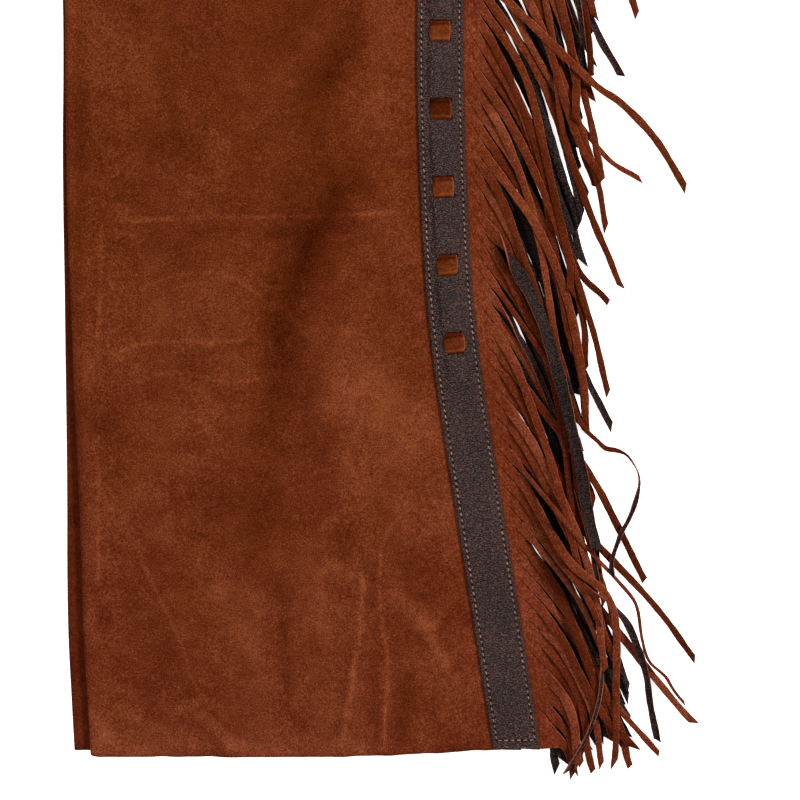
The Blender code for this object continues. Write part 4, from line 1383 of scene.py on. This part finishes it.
    def make_stitches(self) -> bpy.types.Object:
        """Both rows of stitches up the strip and the row across its end."""
        dice = random.Random(STITCH_SEED)
        mesh = Mesh("strip_stitching")
        for x, y, z, way in self.stitch_places():
            made = mesh.bead()
            length = 1.32 + dice.uniform(-0.08, 0.08)
            turn = way + dice.uniform(-0.07, 0.07)
            for v in made:
                along, side, up = v.co.z * length, v.co.x * 0.46, v.co.y * 0.40
                swell = 1 - 0.25 * (v.co.z ** 4)
                sag = 0.30 * v.co.z ** 2
                v.co = Vector((x + along * math.cos(turn) - side * swell * math.sin(turn),
                               y + along * math.sin(turn) + side * swell * math.cos(turn),
                               z + 0.16 + up * swell - sag))
        bmesh.ops.recalc_face_normals(mesh.bm, faces=mesh.bm.faces[:])
        return mesh.finish([self.finishes.thread], "grain_leather")

    def build(self) -> list[bpy.types.Object]:
        """Make the strip, the lace and the stitches."""
        return [self.make_strip(), self.make_lace(), self.make_stitches()]


# Fringe

class HeightField:
    """Heights already taken over the plan, so that each strand lies on the last."""

    CELL = 0.8
    SPREAD = 0.30
    STEPS = 5

    def __init__(self, x0: float, y0: float, x1: float, y1: float) -> None:
        """Start bare over a rectangle of the plan."""
        self.x0 = x0
        self.y0 = y0
        self.top = np.zeros((int((x1 - x0) / self.CELL) + 1, int((y1 - y0) / self.CELL) + 1))

    def cells(self, a: Vector, b: Vector, half: float) -> tuple[np.ndarray, ...]:
        """Cells under one stretch of a strand.

        Args:
            a: Start of its middle line.
            b: End of its middle line.
            half: Half of its width.

        Returns:
            Both cell indices and how far along the stretch each is.
        """
        pad = half + self.CELL
        i0 = max(int((min(a.x, b.x) - pad - self.x0) / self.CELL), 0)
        i1 = min(int((max(a.x, b.x) + pad - self.x0) / self.CELL) + 2, self.top.shape[0])
        j0 = max(int((min(a.y, b.y) - pad - self.y0) / self.CELL), 0)
        j1 = min(int((max(a.y, b.y) + pad - self.y0) / self.CELL) + 2, self.top.shape[1])
        gx, gy = np.meshgrid(np.arange(i0, i1), np.arange(j0, j1), indexing="ij")
        cx = self.x0 + (gx + 0.5) * self.CELL
        cy = self.y0 + (gy + 0.5) * self.CELL
        run = b - a
        length = max(run.length, 0.01)
        t = ((cx - a.x) * run.x + (cy - a.y) * run.y) / (length * length)
        side = np.abs((cx - a.x) * run.y - (cy - a.y) * run.x) / length
        hit = (side <= half + self.SPREAD) & (t > -0.06) & (t < 1.06)
        return gx[hit], gy[hit], np.clip(t[hit], 0, 1)

    def demands(self, a: Vector, b: Vector, half: float) -> list[tuple[float, float]]:
        """What one stretch must clear: places along it and the height there."""
        gx, gy, t = self.cells(a, b, half)
        slot = np.minimum((t * self.STEPS).astype(int), self.STEPS - 1)
        found = []
        for k in range(self.STEPS):
            here = slot == k
            if here.any():
                height = float(self.top[gx[here], gy[here]].max())
                found += [(k / self.STEPS, height), ((k + 1) / self.STEPS, height)]
        return found

    def cover(self, a: Vector, b: Vector, half: float, za: float, zb: float) -> None:
        """Record the top of one stretch, from height za to height zb."""
        gx, gy, t = self.cells(a, b, half)
        self.top[gx, gy] = np.maximum(self.top[gx, gy], za + (zb - za) * t)


def header_point(y: float, across: float, lower: bool) -> Vector:
    """Plan point on a fringe header, measured from the panel's outer edge."""
    x, py = strip_point(y, SEAM_OUT + across)
    return Vector((x - (offset_of_lower_leg(y) if lower else 0.0), py))


def bezier(p0: Vector, p1: Vector, p2: Vector, p3: Vector, t: float) -> Vector:
    """Point on a cubic curve."""
    s = 1 - t
    return p0 * s ** 3 + p1 * 3 * s * s * t + p2 * 3 * s * t * t + p3 * t ** 3


def below_horizontal(degrees: float) -> Vector:
    """Plan direction that points right and down by an angle."""
    a = math.radians(degrees)
    return Vector((math.cos(a), -math.sin(a)))


def start_slope(root: float) -> float:
    """Slope of the slits below the horizontal."""
    return float(np.interp(root, [0, 120, 300, 930], [50, 50, 55, 57]))


def through(points: Sequence[Vector], step: float) -> list[Vector]:
    """A smooth line through points, at even distances.

    Args:
        points: Points that it passes.
        step: Distance between the points that it gives.

    Returns:
        Points along it, from the first to the last.
    """
    padded = [points[0] * 2 - points[1], *points, points[-1] * 2 - points[-2]]
    dense = []
    for a, b, c, d in zip(padded, padded[1:], padded[2:], padded[3:]):
        for i in range(12):
            t = i / 12
            dense.append(0.5 * ((2 * b) + (c - a) * t + (2 * a - 5 * b + 4 * c - d) * t * t
                                + (3 * b - a - 3 * c + d) * t ** 3))
    dense.append(points[-1])
    gone = np.cumsum([0.0] + [(q - p).length for p, q in zip(dense, dense[1:])])
    count = max(int(gone[-1] / step), 2)
    at = np.linspace(0, gone[-1], count + 1)
    xs = np.interp(at, gone, [p.x for p in dense])
    ys = np.interp(at, gone, [p.y for p in dense])
    return [Vector((float(x), float(y))) for x, y in zip(xs, ys)]


class Draws(NamedTuple):
    """Seeds of one fringe: of its courses, its looks and the sway of its strands."""

    courses: int
    looks: int
    sway: int


UPPER_DRAWS = Draws(8, 31, 500)
LOWER_DRAWS = Draws(21, 77, 1500)


@dataclass
class Course:
    """One strand as planned: where it starts and ends, and how it runs and turns."""

    root: float
    tip: Vector
    lean: float
    width: float
    bow: float
    side: Side
    tone: float
    seed: int
    points: list[Vector] = field(default_factory=list)
    levels: list[float] = field(default_factory=list)


@dataclass
class Fringe:
    """One fringe with its header, cut from a single sheet."""

    finishes: Finishes
    name: str
    node: str
    lower: bool
    header_low: float
    header_in: float
    step: float = 6.8
    fine: float = 3.1
    bunching: float = 4.0
    slit: float = 1.3
    steeper: float = 5.0
    pinch: float = 0.5
    grain_share: float = 0.06
    upper_width: float = 5.6
    lower_width: float = 6.2
    stout_below: float = 170.0
    stouter: float = 1.12
    lowest_tip: float = -11.0

    @property
    def draws(self) -> Draws:
        """The fringe's seeds."""
        return LOWER_DRAWS if self.lower else UPPER_DRAWS

    def root_at(self, number: float) -> float:
        """Height at which a strand leaves the header; halves are the slits between.

        The lower fringe's strands lie under the gaps of the upper one's.
        """
        root = ROOT_FIRST + ROOT_STEP * number
        if not self.lower:
            return root
        behind = offset_of_lower_leg(root) * math.tan(math.radians(start_slope(root)))
        return root + behind - ROOT_STEP / 2

    def plan(self) -> list[Course]:
        """Each strand's course, from the table or the flow.

        Returns:
            The courses, from the hem up.
        """
        dice = random.Random(self.draws.courses)
        looks = random.Random(self.draws.looks)
        roots = [self.root_at(i) for i in range(ROOT_COUNT)]
        taken: dict[int, Strand] = {}
        for own in [] if self.lower else OWN_COURSE:
            free = [i for i in range(ROOT_COUNT) if i not in taken]
            taken[min(free, key=lambda i: abs(roots[i] - own.root))] = own
        courses = []
        for i, root in enumerate(roots):
            wobble = dice.uniform(-1, 1)
            stretch = dice.uniform(-1, 1)
            tone = looks.uniform(-1, 1)
            dark = looks.random() < self.grain_share
            if i in taken:
                own = taken[i]
                courses.append(Course(root, Vector((own.tip_x, own.tip_y)), own.lean,
                                      own.width, own.bow, own.side, tone, i))
                courses[-1].points = [Vector(p) for p in WAYPOINTS.get(own.root, [])]
                continue
            reach = float(np.interp(root, FLOW_ROOT, FLOW_REACH)) * (1 + 0.06 * stretch)
            if self.lower:
                slope = float(np.interp(root, FLOW_ROOT, LOWER_SLOPE)) + wobble
                reach *= float(np.interp(root, (150, 260), (1.0, 0.86)))
            else:
                slope = float(np.interp(root, FLOW_ROOT, FLOW_SLOPE)) + 2.2 * wobble
            tip = header_point(root, HEADER_OUT, self.lower) + below_horizontal(slope) * reach
            tip.x += looks.uniform(-7, -4) if self.lower else looks.uniform(-4, 3)
            tip.y = max(tip.y, self.lowest_tip - 1.5 * stretch)
            lean = slope + (6 if self.lower else 9 + looks.uniform(-7, 9))
            bow = looks.uniform(0.30, 0.36) if self.lower else looks.uniform(0.22, 0.46)
            width = (self.upper_width + 0.3 * wobble) * looks.uniform(0.84, 1.10)
            if root < self.stout_below:
                width *= self.stouter
            if self.lower:
                width = self.lower_width + 0.2 * wobble
            side = Side.SUEDE
            if dark:
                side = Side.TURNED if self.lower else Side.GRAIN
            courses.append(Course(root, tip, lean, width, bow, side, tone, i))
        return courses

    def route(self, course: Course) -> list[Vector]:
        """Middle line of a strand at even distances.

        Args:
            course: The strand.

        Returns:
            Plan points from the header to the tip.
        """
        start = header_point(course.root, HEADER_OUT, self.lower)
        away = below_horizontal(start_slope(course.root))
        lane = start + away * min(LANE, (course.tip - start).length * 0.4)
        if course.points:
            return through([start, lane, *course.points], self.step)
        reach = (course.tip - lane).length
        first = lane + away * reach * course.bow
        last = course.tip - below_horizontal(course.lean) * reach * 0.35
        line = [start, lane] + [bezier(lane, first, last, course.tip, t)
                                for t in np.linspace(0, 1, 9)[1:]]
        line = through(line, self.step)
        dice = random.Random(course.seed + self.draws.sway)
        phase = dice.uniform(0, 6.28)
        swing = dice.uniform(0.3, 1.5)
        drift = dice.uniform(-1, 1) * self.bunching * (0.4 if self.lower else 1.0)
        total = len(line) - 1
        for k in range(2, total):
            run = (line[k + 1] - line[k - 1]).normalized()
            sway = swing * math.sin(phase + 7.5 * k / total) + drift
            sway *= smoothstep(k / 9) * smoothstep((total - k) / 4)
            line[k] = line[k] + Vector((run.y, -run.x)) * sway
        return line

    def settle(self, ground: HeightField, course: Course) -> None:
        """Let a strand down on to what lies under it.

        The first stretch stays in its own slit, so it has nothing to clear.

        Args:
            ground: Heights already taken.
            course: The strand, whose levels are set.
        """
        points = course.points
        half = course.width / 2
        last = len(points) - 1
        stretches = {k: ground.demands(points[k], points[k + 1], half) for k in range(1, last)}
        peaks = {k: max([h for _, h in found], default=0.0) for k, found in stretches.items()}
        levels = [self.header_low]
        for k in range(1, last + 1):
            levels.append(max(peaks.get(k - 1, 0.0), peaks.get(k, 0.0), 0.0) + GAP)
        for _ in range(4):
            for k in list(range(last, 0, -1)) + list(range(1, last + 1)):
                levels[k] = min(levels[k], self.lowest_level(k, levels, stretches))
        course.levels = self.ease(levels)

    def refine(self, course: Course) -> None:
        """Give a settled strand the close points that its mesh is made from."""
        coarse = np.linspace(0, 1, len(course.levels))
        course.points = through(course.points, self.fine)
        at = np.linspace(0, 1, len(course.points))
        levels = np.interp(at, coarse, course.levels)
        for _ in range(2):
            smooth = np.convolve(levels, SMOOTHING, "same")
            levels[1:-1] = np.maximum(levels, smooth)[1:-1]
        course.levels = [float(z) for z in levels]

    @staticmethod
    def lowest_level(k: int, levels: list[float],
                     stretches: dict[int, list[tuple[float, float]]]) -> float:
        """Lowest level of one point that still clears the stretches beside it."""
        lowest = GAP
        for t, height in stretches.get(k - 1, []):
            if t > 0.0:
                lowest = max(lowest, (height + SPARE - levels[k - 1] * (1 - t)) / t)
        for t, height in stretches.get(k, []):
            if t < 1.0:
                lowest = max(lowest, (height + SPARE - levels[k + 1] * t) / (1 - t))
        return lowest

    @staticmethod
    def ease(levels: list[float]) -> list[float]:
        """Lift a strand out of the dips that leather wouldn't follow.

        Args:
            levels: Levels that only clear what lies under.

        Returns:
            Levels with shallow dips.
        """
        for _ in range(6):
            smooth = np.convolve(levels, SMOOTHING, "same")
            levels[1:-1] = [max(a, float(b)) for a, b in zip(levels[1:-1], smooth[1:-1])]
        return levels

    def lay(self, ground: HeightField, courses: list[Course]) -> None:
        """Route and settle every strand, each fourth one in turn, the freest ones last.

        Args:
            ground: Heights already taken, which the strands add to.
            courses: The strands.
        """
        plain = [course for course in courses if not course.points]
        free = [course for course in courses if course.points]
        for course in [c for turn in range(4) for c in plain[turn::4]] + free:
            course.points = self.route(course)
            self.settle(ground, course)
            for k in range(len(course.points) - 1):
                ground.cover(course.points[k], course.points[k + 1], course.width / 2,
                             course.levels[k] + STRAND, course.levels[k + 1] + STRAND)

    def roll(self, course: Course, share: float, phase: float) -> float:
        """How far a strand is turned about its own line at a share of its length.

        Args:
            course: The strand.
            share: 0 at the header and 1 at the tip.
            phase: Shift of its slow rocking.

        Returns:
            The turn in radians.
        """
        rock = 0.20 * math.sin(phase + 9.0 * share) * smoothstep(share * 5)
        if course.side is Side.TURNED:
            begin = 0.30 + 0.25 * (phase / 6.28)
            return rock + math.pi * smoothstep((share - begin) / 0.26)
        if course.side is Side.GRAIN:
            return rock + math.pi * smoothstep((share - 0.01) / 0.16)
        return rock

    def header_rows(self, i: int) -> list[tuple[Vector, Vector, float]]:
        """Rows of the uncut header at one strand: both ends and the level.

        Args:
            i: The strand's number.

        Returns:
            The rows, from the inner edge outwards.
        """
        inner = self.header_low if self.lower else PANEL_TOP + GAP
        rows = []
        for across in (-self.header_in, 0.6, 2.2, 4.5, 7.0, 10.0):
            level = inner + (self.header_low - inner) * smoothstep(across / HEADER_OUT)
            ends = []
            for border in (-1, 1):
                number = i + max(border, 0)
                root = self.root_at(number - 0.5)
                shift = (HEADER_OUT - max(across, 2.2)) * math.tan(
                    math.radians(start_slope(root) + self.steeper))
                if number == 0:
                    shift = 0.0
                begins = random.Random(number * 7 + SLIT_SEED).choice((2.2, 2.2, 4.5, 7.0))
                slit = self.slit / 2 * min(max(across - begins, 0.0) / (HEADER_OUT - begins), 1)
                ends.append(header_point(root - border * slit + shift, across, self.lower))
            rows.append((ends[0], ends[1], level))
        return rows

    def strand_rows(self, course: Course) -> list[tuple[Vector, Vector, float, float]]:
        """Rows of the cut strand: middle, half-width vector, level and turn.

        Args:
            course: The strand.

        Returns:
            The rows, from the header outwards.
        """
        dice = random.Random(course.seed + CUT_SEED)
        phase = dice.uniform(0, 6.28)
        taper = dice.uniform(0.06, 0.34)
        stout = dice.uniform(0.92, 1.06)
        slant = dice.choice((-1, 1)) * dice.uniform(0.4, 1.6)
        points = course.points
        total = len(points) - 1
        reach = (ROOT_STEP - self.slit) / 2
        slope = below_horizontal(start_slope(course.root))
        rows = []
        seam = (header_point(course.root + reach, HEADER_OUT, self.lower)
                - header_point(course.root - reach, HEADER_OUT, self.lower)) / 2
        rows.append((points[0], seam, course.levels[0], 0.0))
        for k in range(1, total + 1):
            share = k / total
            run = (points[min(k + 1, total)] - points[k - 1]).normalized()
            up = Vector((-run.y, run.x))
            wide = course.width * stout * (1 - taper * share)
            wide *= 1 + 0.05 * math.sin(phase + 0.9 * k) + 0.03 * math.sin(2 * phase + 2.3 * k)
            open_width = reach * abs(slope.x) * 2
            wide = wide + (open_width - wide) * max(1 - k / 3, 0)
            turn = self.roll(course, share, phase)
            wide *= 1 - self.pinch * abs(math.sin(turn))
            half = up * (wide / 2)
            half = half + run * (wide * 0.5 * slant * max(1 - (total - k) / 3.5, 0))
            level = course.levels[k] + abs(math.sin(turn)) * wide / 2
            rows.append((points[k], half, level, turn))
        return rows

    def add_strand(self, mesh: Mesh, courses: list[Course], i: int) -> float:
        """Add one strand with its share of the header.

        Args:
            mesh: The fringe's mesh.
            courses: All strands.
            i: The strand's number.

        Returns:
            Its flat area in square millimetres.
        """
        course = courses[i]
        across = np.array([-1.0, -0.84, 0.0, 0.84, 1.0])
        points = []
        for low, high, level in self.header_rows(i):
            middle = (low + high) / 2
            half = (high - low) / 2
            points.append([(middle.x + half.x * s, middle.y + half.y * s, level + STRAND)
                           for s in across])
        header = len(points)
        for middle, half, level, turn in self.strand_rows(course):
            flat = math.cos(turn)
            rise = math.sin(turn) * half.length
            camber = 0.30 * min((len(points) - header) / 6, 1)
            points.append([(middle.x + half.x * s * flat, middle.y + half.y * s * flat,
                            level + STRAND + rise * s + camber * (0.8 - s ** 4) * flat)
                           for s in across])
        grid = np.array(points)
        lengths = np.linalg.norm(np.diff(grid[:, 2], axis=0), axis=1)
        along = np.concatenate([[0.0], np.cumsum(lengths)]) * MM + CUT_SHIFT * course.seed
        cut = np.stack([np.broadcast_to(across / 2 + 0.5, grid.shape[:2]),
                        np.broadcast_to(along[:, None], grid.shape[:2])], axis=2)
        # The header's cut stays near the middle, so it gets no painted edge highlight
        cut[:header - 1, :, 0] = 0.5 + across * 0.2
        fade = np.clip((np.arange(len(points)) - header) / 5, 0, 1)[:, None]
        gone = np.clip((np.arange(len(points)) - header) / len(points), 0, 1)[:, None]
        # Each strand's own random tone, weaker near the header, and painted shade that darkens the
        # strand towards its tip
        tone = (course.tone * 0.55 * fade - 0.6 * gone) * np.ones((1, len(across)))
        mesh.sheet(grid[:, ::-1], cut, tone)
        widths = np.linalg.norm(grid[:, -1] - grid[:, 0], axis=1)
        return float(((widths[1:] + widths[:-1]) / 2 * lengths).sum())

    def build(self, ground: HeightField) -> bpy.types.Object:
        """Lay the strands and make the fringe.

        Args:
            ground: Heights already taken.

        Returns:
            The piece.
        """
        courses = self.plan()
        self.lay(ground, courses)
        for course in courses:
            self.refine(course)
        mesh = Mesh(self.name)
        area = sum(self.add_strand(mesh, courses, i) for i in range(len(courses)))
        bmesh.ops.remove_doubles(mesh.bm, verts=mesh.bm.verts[:], dist=0.02)
        bmesh.ops.recalc_face_normals(mesh.bm, faces=mesh.bm.faces[:])
        self.point_up(mesh.bm)
        f = self.finishes
        top, bottom = (f.grain_back, f.strand) if self.lower else (f.strand, f.grain_back)
        piece = mesh.finish([top, bottom, top], "fringe_suede", STRAND)
        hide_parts(self.node)
        return piece

    @staticmethod
    def point_up(bm: bmesh.types.BMesh) -> None:
        """Turn the sheet over if its header faces down."""
        header = min(bm.faces, key=lambda f: f.calc_center_median().x)
        header.normal_update()
        if header.normal.z < 0:
            bmesh.ops.reverse_faces(bm, faces=bm.faces[:])


# Belt

@dataclass
class BeltSet:
    """Belt with its buckle and keeper, fastened and folded with the chaps."""

    finishes: Finishes
    side: float = 336.0
    fold_in: float = 118.0
    fold_out: float = 106.0
    tip_end: float = 216.0
    buckle_left: float = 112.0
    buckle_right: float = 147.0
    buckle_margin: float = 5.0
    buckle_radius: float = 5.0
    buckle_bar: float = 4.1
    buckle_depth: float = 2.2
    buckle_drop: float = 2.6
    keeper_left: float = 170.0
    keeper_right: float = 182.0
    keeper_wall: float = 1.3

    def layer(self, i: int) -> float:
        """Level of the middle of the belt's layer i, from the floor up."""
        return BELT / 2 + i * (BELT + GAP)

    def path(self) -> list[tuple[float, float]]:
        """Middle line of the belt, from the buckle end round the waist to the tip.

        Returns:
            Points in X and Z.
        """
        near = (BELT + GAP) / 2
        wide = 3 * near
        level = self.layer
        path = [(self.buckle_right + 0.8, level(3)), (198, level(3)), (250, level(3))]
        path += arc(self.side - near, (level(3) + level(2)) / 2, near, 90, -90)
        path += [(250, level(2))]
        path += arc(self.fold_in + near, (level(2) + level(1)) / 2, near, 90, 270)
        path += [(250, level(1))]
        path += arc(self.side - near, (level(1) + level(0)) / 2, near, 90, -90)
        path += [(250, level(0))]
        path += arc(self.fold_out + wide, (level(3) + level(0)) / 2, wide, 270, 90, 21)
        path += [(self.buckle_left + 6, level(3)), (self.buckle_right - 6, level(4) + 0.3),
                 (self.buckle_right, level(4) + 0.3), (self.buckle_right + 12, level(4)),
                 (self.tip_end - 20, level(4)), (self.tip_end - 12, level(4)),
                 (self.tip_end - 6, level(4)), (self.tip_end - 2, level(4)),
                 (self.tip_end, level(4))]
        return path

    def make_belt(self) -> bpy.types.Object:
        """The strap as one band on edge along its path, with a rounded point."""
        rows = []
        for x, z in self.path():
            rows.append([(x, BELT_MIDDLE + s * BELT_WIDTH / 2, z)
                         for s in np.linspace(-1, 1, 9)])
        narrow = (0.98, 0.88, 0.66, 0.40)
        for row, share in zip(rows[-4:], narrow):
            for c, (x, y, z) in enumerate(row):
                row[c] = (x, BELT_MIDDLE + (y - BELT_MIDDLE) * share, z)
        grid = np.array(rows)
        steps = np.linalg.norm(np.diff(grid[::-1, 4], axis=0), axis=1)
        from_tip = np.concatenate([[0.0], np.cumsum(steps)])[::-1]
        cut = np.stack([grid[..., 1] - BELT_MIDDLE,
                        np.broadcast_to(from_tip[:, None], grid.shape[:2])], axis=2) * MM
        mesh = Mesh("waist_belt")
        mesh.sheet(grid, cut)
        piece = mesh.finish([self.finishes.grain], "grain_leather", BELT - 0.1, angle=50,
                            centred=True)
        bevel_edges(piece, 0.5, 3, 60)
        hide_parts("belt")
        return piece

    def make_buckle(self) -> bpy.types.Object:
        """Frame and prong of the buckle."""
        toe = 4 * BELT + 4 * GAP
        radius = self.buckle_radius
        half = BELT_WIDTH / 2 + self.buckle_margin
        left, right = self.buckle_left + radius, self.buckle_right - radius
        low, high = BELT_MIDDLE - half + radius, BELT_MIDDLE + half - radius

        def level(x: float) -> float:
            """Underside of the frame, which falls from its left bar to its right."""
            return toe - self.buckle_drop * min(max((x - left) / (right - left), 0.0), 1.0)

        corners = [(right, low, -90), (right, high, 0), (left, high, 90), (left, low, 180)]
        turns = [(cx, cy, math.radians(start + a)) for cx, cy, start in corners
                 for a in np.linspace(0, 90, 9)]
        mesh = Mesh("waist_buckle")
        bm = mesh.bm
        for reach in (radius, radius - self.buckle_bar):
            ring = bmesh.ops.create_circle(bm, segments=len(turns), radius=1.0)["verts"]
            for v, (x, y, a) in zip(ring, turns):
                v.co = (x + reach * math.cos(a), y + reach * math.sin(a), 0.0)
        bmesh.ops.bridge_loops(bm, edges=bm.edges[:])
        for x in (left, right):
            bmesh.ops.bisect_plane(bm, geom=bm.verts[:] + bm.edges[:] + bm.faces[:],
                                   plane_co=(x, 0, 0), plane_no=(1, 0, 0))
        for v in bm.verts:
            v.co.z = level(v.co.x)
        grown = bmesh.ops.extrude_face_region(bm, geom=bm.faces[:])
        for v in grown["geom"]:
            if isinstance(v, bmesh.types.BMVert):
                v.co.z += self.buckle_depth
        self.add_prong(bm, level(self.buckle_right - 2) + 1.1, toe + BELT + 0.9)
        bmesh.ops.recalc_face_normals(bm, faces=bm.faces[:])
        piece = mesh.finish([self.finishes.metal], "buckle_metal", angle=50)
        bevel_edges(piece, 0.7, 3, 50)
        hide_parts("belt_buckle")
        return piece

    def add_prong(self, bm: bmesh.types.BMesh, heel: float, lift: float) -> None:
        """Add the buckle's prong, from its right bar over the strap to its left bar.

        Args:
            bm: The buckle's mesh.
            heel: Level where it leaves the right bar.
            lift: Level of its underside over the strap.
        """
        stops = (0, 0.12, 0.26, 0.75, 1)
        rail_x = [self.buckle_right - 0.8, self.buckle_right - 4.6, self.buckle_right - 8.6,
                  self.buckle_left + 10, self.buckle_left - 0.9]
        rail_z = [heel, heel + 0.5, lift + 0.9, lift + 1.15, lift + 1.3]
        made = bmesh.ops.create_cone(bm, cap_ends=True, segments=12, radius1=1.25, radius2=1.25,
                                     depth=1.0)["verts"]
        long_edges = [e for e in {e for v in made for e in v.link_edges}
                      if abs(e.verts[0].co.z - e.verts[1].co.z) > 0.5]
        bmesh.ops.subdivide_edges(bm, edges=long_edges, cuts=11, use_grid_fill=True)
        # The cone reaches 0.5 up and down, and every point of the frame is higher than that
        for v in [v for v in bm.verts if v.co.z < 0.6]:
            share = 0.5 - v.co.z
            x = float(np.interp(share, stops, rail_x))
            z = float(np.interp(share, stops, rail_z))
            slim = 1 - 0.25 * share
            v.co = (x, BELT_MIDDLE + v.co.x * slim, z + v.co.y * slim * 0.8)

    def make_keeper(self) -> bpy.types.Object:
        """Leather loop that holds the strap's tip down on the buckle end."""
        low = PANEL_TOP + RAMP_RISE + GAP
        top = 5 * BELT + 5 * GAP + self.keeper_wall
        half = BELT_WIDTH / 2 + GAP + self.keeper_wall
        near, far = BELT_MIDDLE - half, BELT_MIDDLE + half
        corner = 1.4
        rail = [(near, low), (near, top - corner),
                *arc(near + corner, top - corner, corner, 180, 90, 6)[1:],
                (BELT_MIDDLE - half / 3, top), (BELT_MIDDLE + half / 3, top),
                *arc(far - corner, top - corner, corner, 90, 0, 6), (far, low)]
        rows = [[(x, y, z) for x in np.linspace(self.keeper_left, self.keeper_right, 6)]
                for y, z in rail]
        mesh = Mesh("belt_loop")
        mesh.sheet(np.array(rows))
        piece = mesh.finish([self.finishes.grain], "grain_leather", self.keeper_wall,
                            angle=50)
        bevel_edges(piece, 0.35, 2, 60)
        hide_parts("belt_keeper")
        return piece

    def make_stitches(self) -> bpy.types.Object:
        """Stitches along both edges of the belt's upper faces."""
        mesh = Mesh("belt_stitching")
        runs = [(150.0, self.side - 6, self.layer(3)), (170.0, self.tip_end - 14, self.layer(4))]
        for edge in (-1, 1):
            y = BELT_MIDDLE + edge * (BELT_WIDTH / 2 - 3.2)
            for index, (x0, x1, level) in enumerate(runs):
                for x in np.arange(x0, x1, STITCH_PITCH):
                    under = index == 0 and x < self.tip_end + 2
                    if under or self.keeper_left - 2 < x < self.keeper_right + 2:
                        continue
                    for v in mesh.bead():
                        v.co = Vector((x + v.co.z * 1.15, y + v.co.x * 0.40,
                                       level + BELT / 2 - 0.02 + v.co.y * 0.3
                                       - 0.25 * v.co.z ** 2))
        bmesh.ops.recalc_face_normals(mesh.bm, faces=mesh.bm.faces[:])
        return mesh.finish([self.finishes.thread], "grain_leather")

    def build(self) -> list[bpy.types.Object]:
        """Make the belt and what is on it."""
        return [self.make_belt(), self.make_buckle(), self.make_keeper(), self.make_stitches()]


# Studio

@dataclass
class Studio:
    """Floor, lights and the camera that looks straight down."""

    frame_width: float = 512.0
    distance: float = 1.6
    centre: tuple[float, float] = (256.0, 228.5)
    floor_glow: float = 0.82
    sky: float = 0.34

    def floor(self) -> None:
        """A plain pale floor."""
        bm = bmesh.new()
        bmesh.ops.create_grid(bm, x_segments=1, y_segments=1, size=12.0)
        data = bpy.data.meshes.new("floor")
        bm.to_mesh(data)
        bm.free()
        data.materials.append(Graph("floor_paint").finish({
            "Base Color": (0.93, 0.93, 0.93, 1.0), "Roughness": 0.9, "Specular IOR Level": 0.0,
            "Emission Color": (1.0, 1.0, 1.0, 1.0), "Emission Strength": self.floor_glow}))
        obj = add_object("floor", data)
        obj.location = (0.0, 0.0, -0.0002)

    def lamp(self, name: str, place: Sequence[float], power: float, size: float) -> None:
        """A square soft light aimed at the chaps.

        Args:
            name: Its name.
            place: Where it stands, in metres.
            power: Its power in watts.
            size: Its side in metres.
        """
        data = bpy.data.lights.new(name, "AREA")
        data.energy = power
        data.size = size
        obj = add_object(name, data)
        obj.location = place
        aim = Vector((0.0, -0.25, 0.0)) - Vector(place)
        obj.rotation_euler = aim.to_track_quat("-Z", "Y").to_euler()

    def camera(self) -> None:
        """A camera above the lower leg, with +Y up in its view."""
        data = bpy.data.cameras.new("camera")
        data.sensor_width = 36.0
        data.lens = 36.0 * self.distance / (self.frame_width * MM)
        obj = add_object("camera", data)
        obj.location = ((self.centre[0] + ORIGIN.x) * MM, (self.centre[1] + ORIGIN.y) * MM,
                        self.distance + PANEL_TOP * MM)
        bpy.context.scene.camera = obj

    def build(self) -> None:
        """Set up the floor, the lights and the camera."""
        scene = bpy.context.scene
        scene.view_settings.view_transform = "Standard"
        world = bpy.data.worlds.new("studio")
        world.use_nodes = True
        background = world.node_tree.nodes["Background"]
        background.inputs["Color"].default_value = (1.0, 1.0, 1.0, 1.0)
        background.inputs["Strength"].default_value = self.sky
        scene.world = world
        self.floor()
        self.lamp("key", (2.4, 0.95, 2.1), 178.0, 0.8)
        self.lamp("fill", (-1.6, -1.5, 2.6), 66.0, 1.6)
        self.camera()


def main() -> None:
    """Build the studio and every sub-assembly, and report each piece."""
    logging.basicConfig(level=logging.INFO, format="%(name)s: %(message)s")
    Studio().build()
    finishes = Finishes()
    ground = HeightField(*FRINGE_AREA)
    panels = LegPanels(finishes)
    pieces = panels.build()
    pieces += Strip(finishes).build()
    pieces.append(Fringe(finishes, "fringe_lower", "fringe_right", True, GAP, 0.0, slit=0.5
                         ).build(ground))
    pieces.append(Fringe(finishes, "fringe_upper", "fringe_left", False,
                         UPPER_FRONT + HEADER_DROP, HEADER_IN).build(ground))
    pieces += BeltSet(finishes).build()
    for piece in pieces:
        LOG.info("%s: %d faces, slot %s", piece.name, len(piece.data.polygons),
                 piece["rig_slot"])
    for name, (width, length, area) in panels.cuts.items():
        LOG.info("%s: cut %.0f x %.0f mm, %.0f cm2", name, width, length, area / 100)
    LOG.info("fringe top %.1f mm", ground.top.max())


if __name__ == "__main__":
    main()
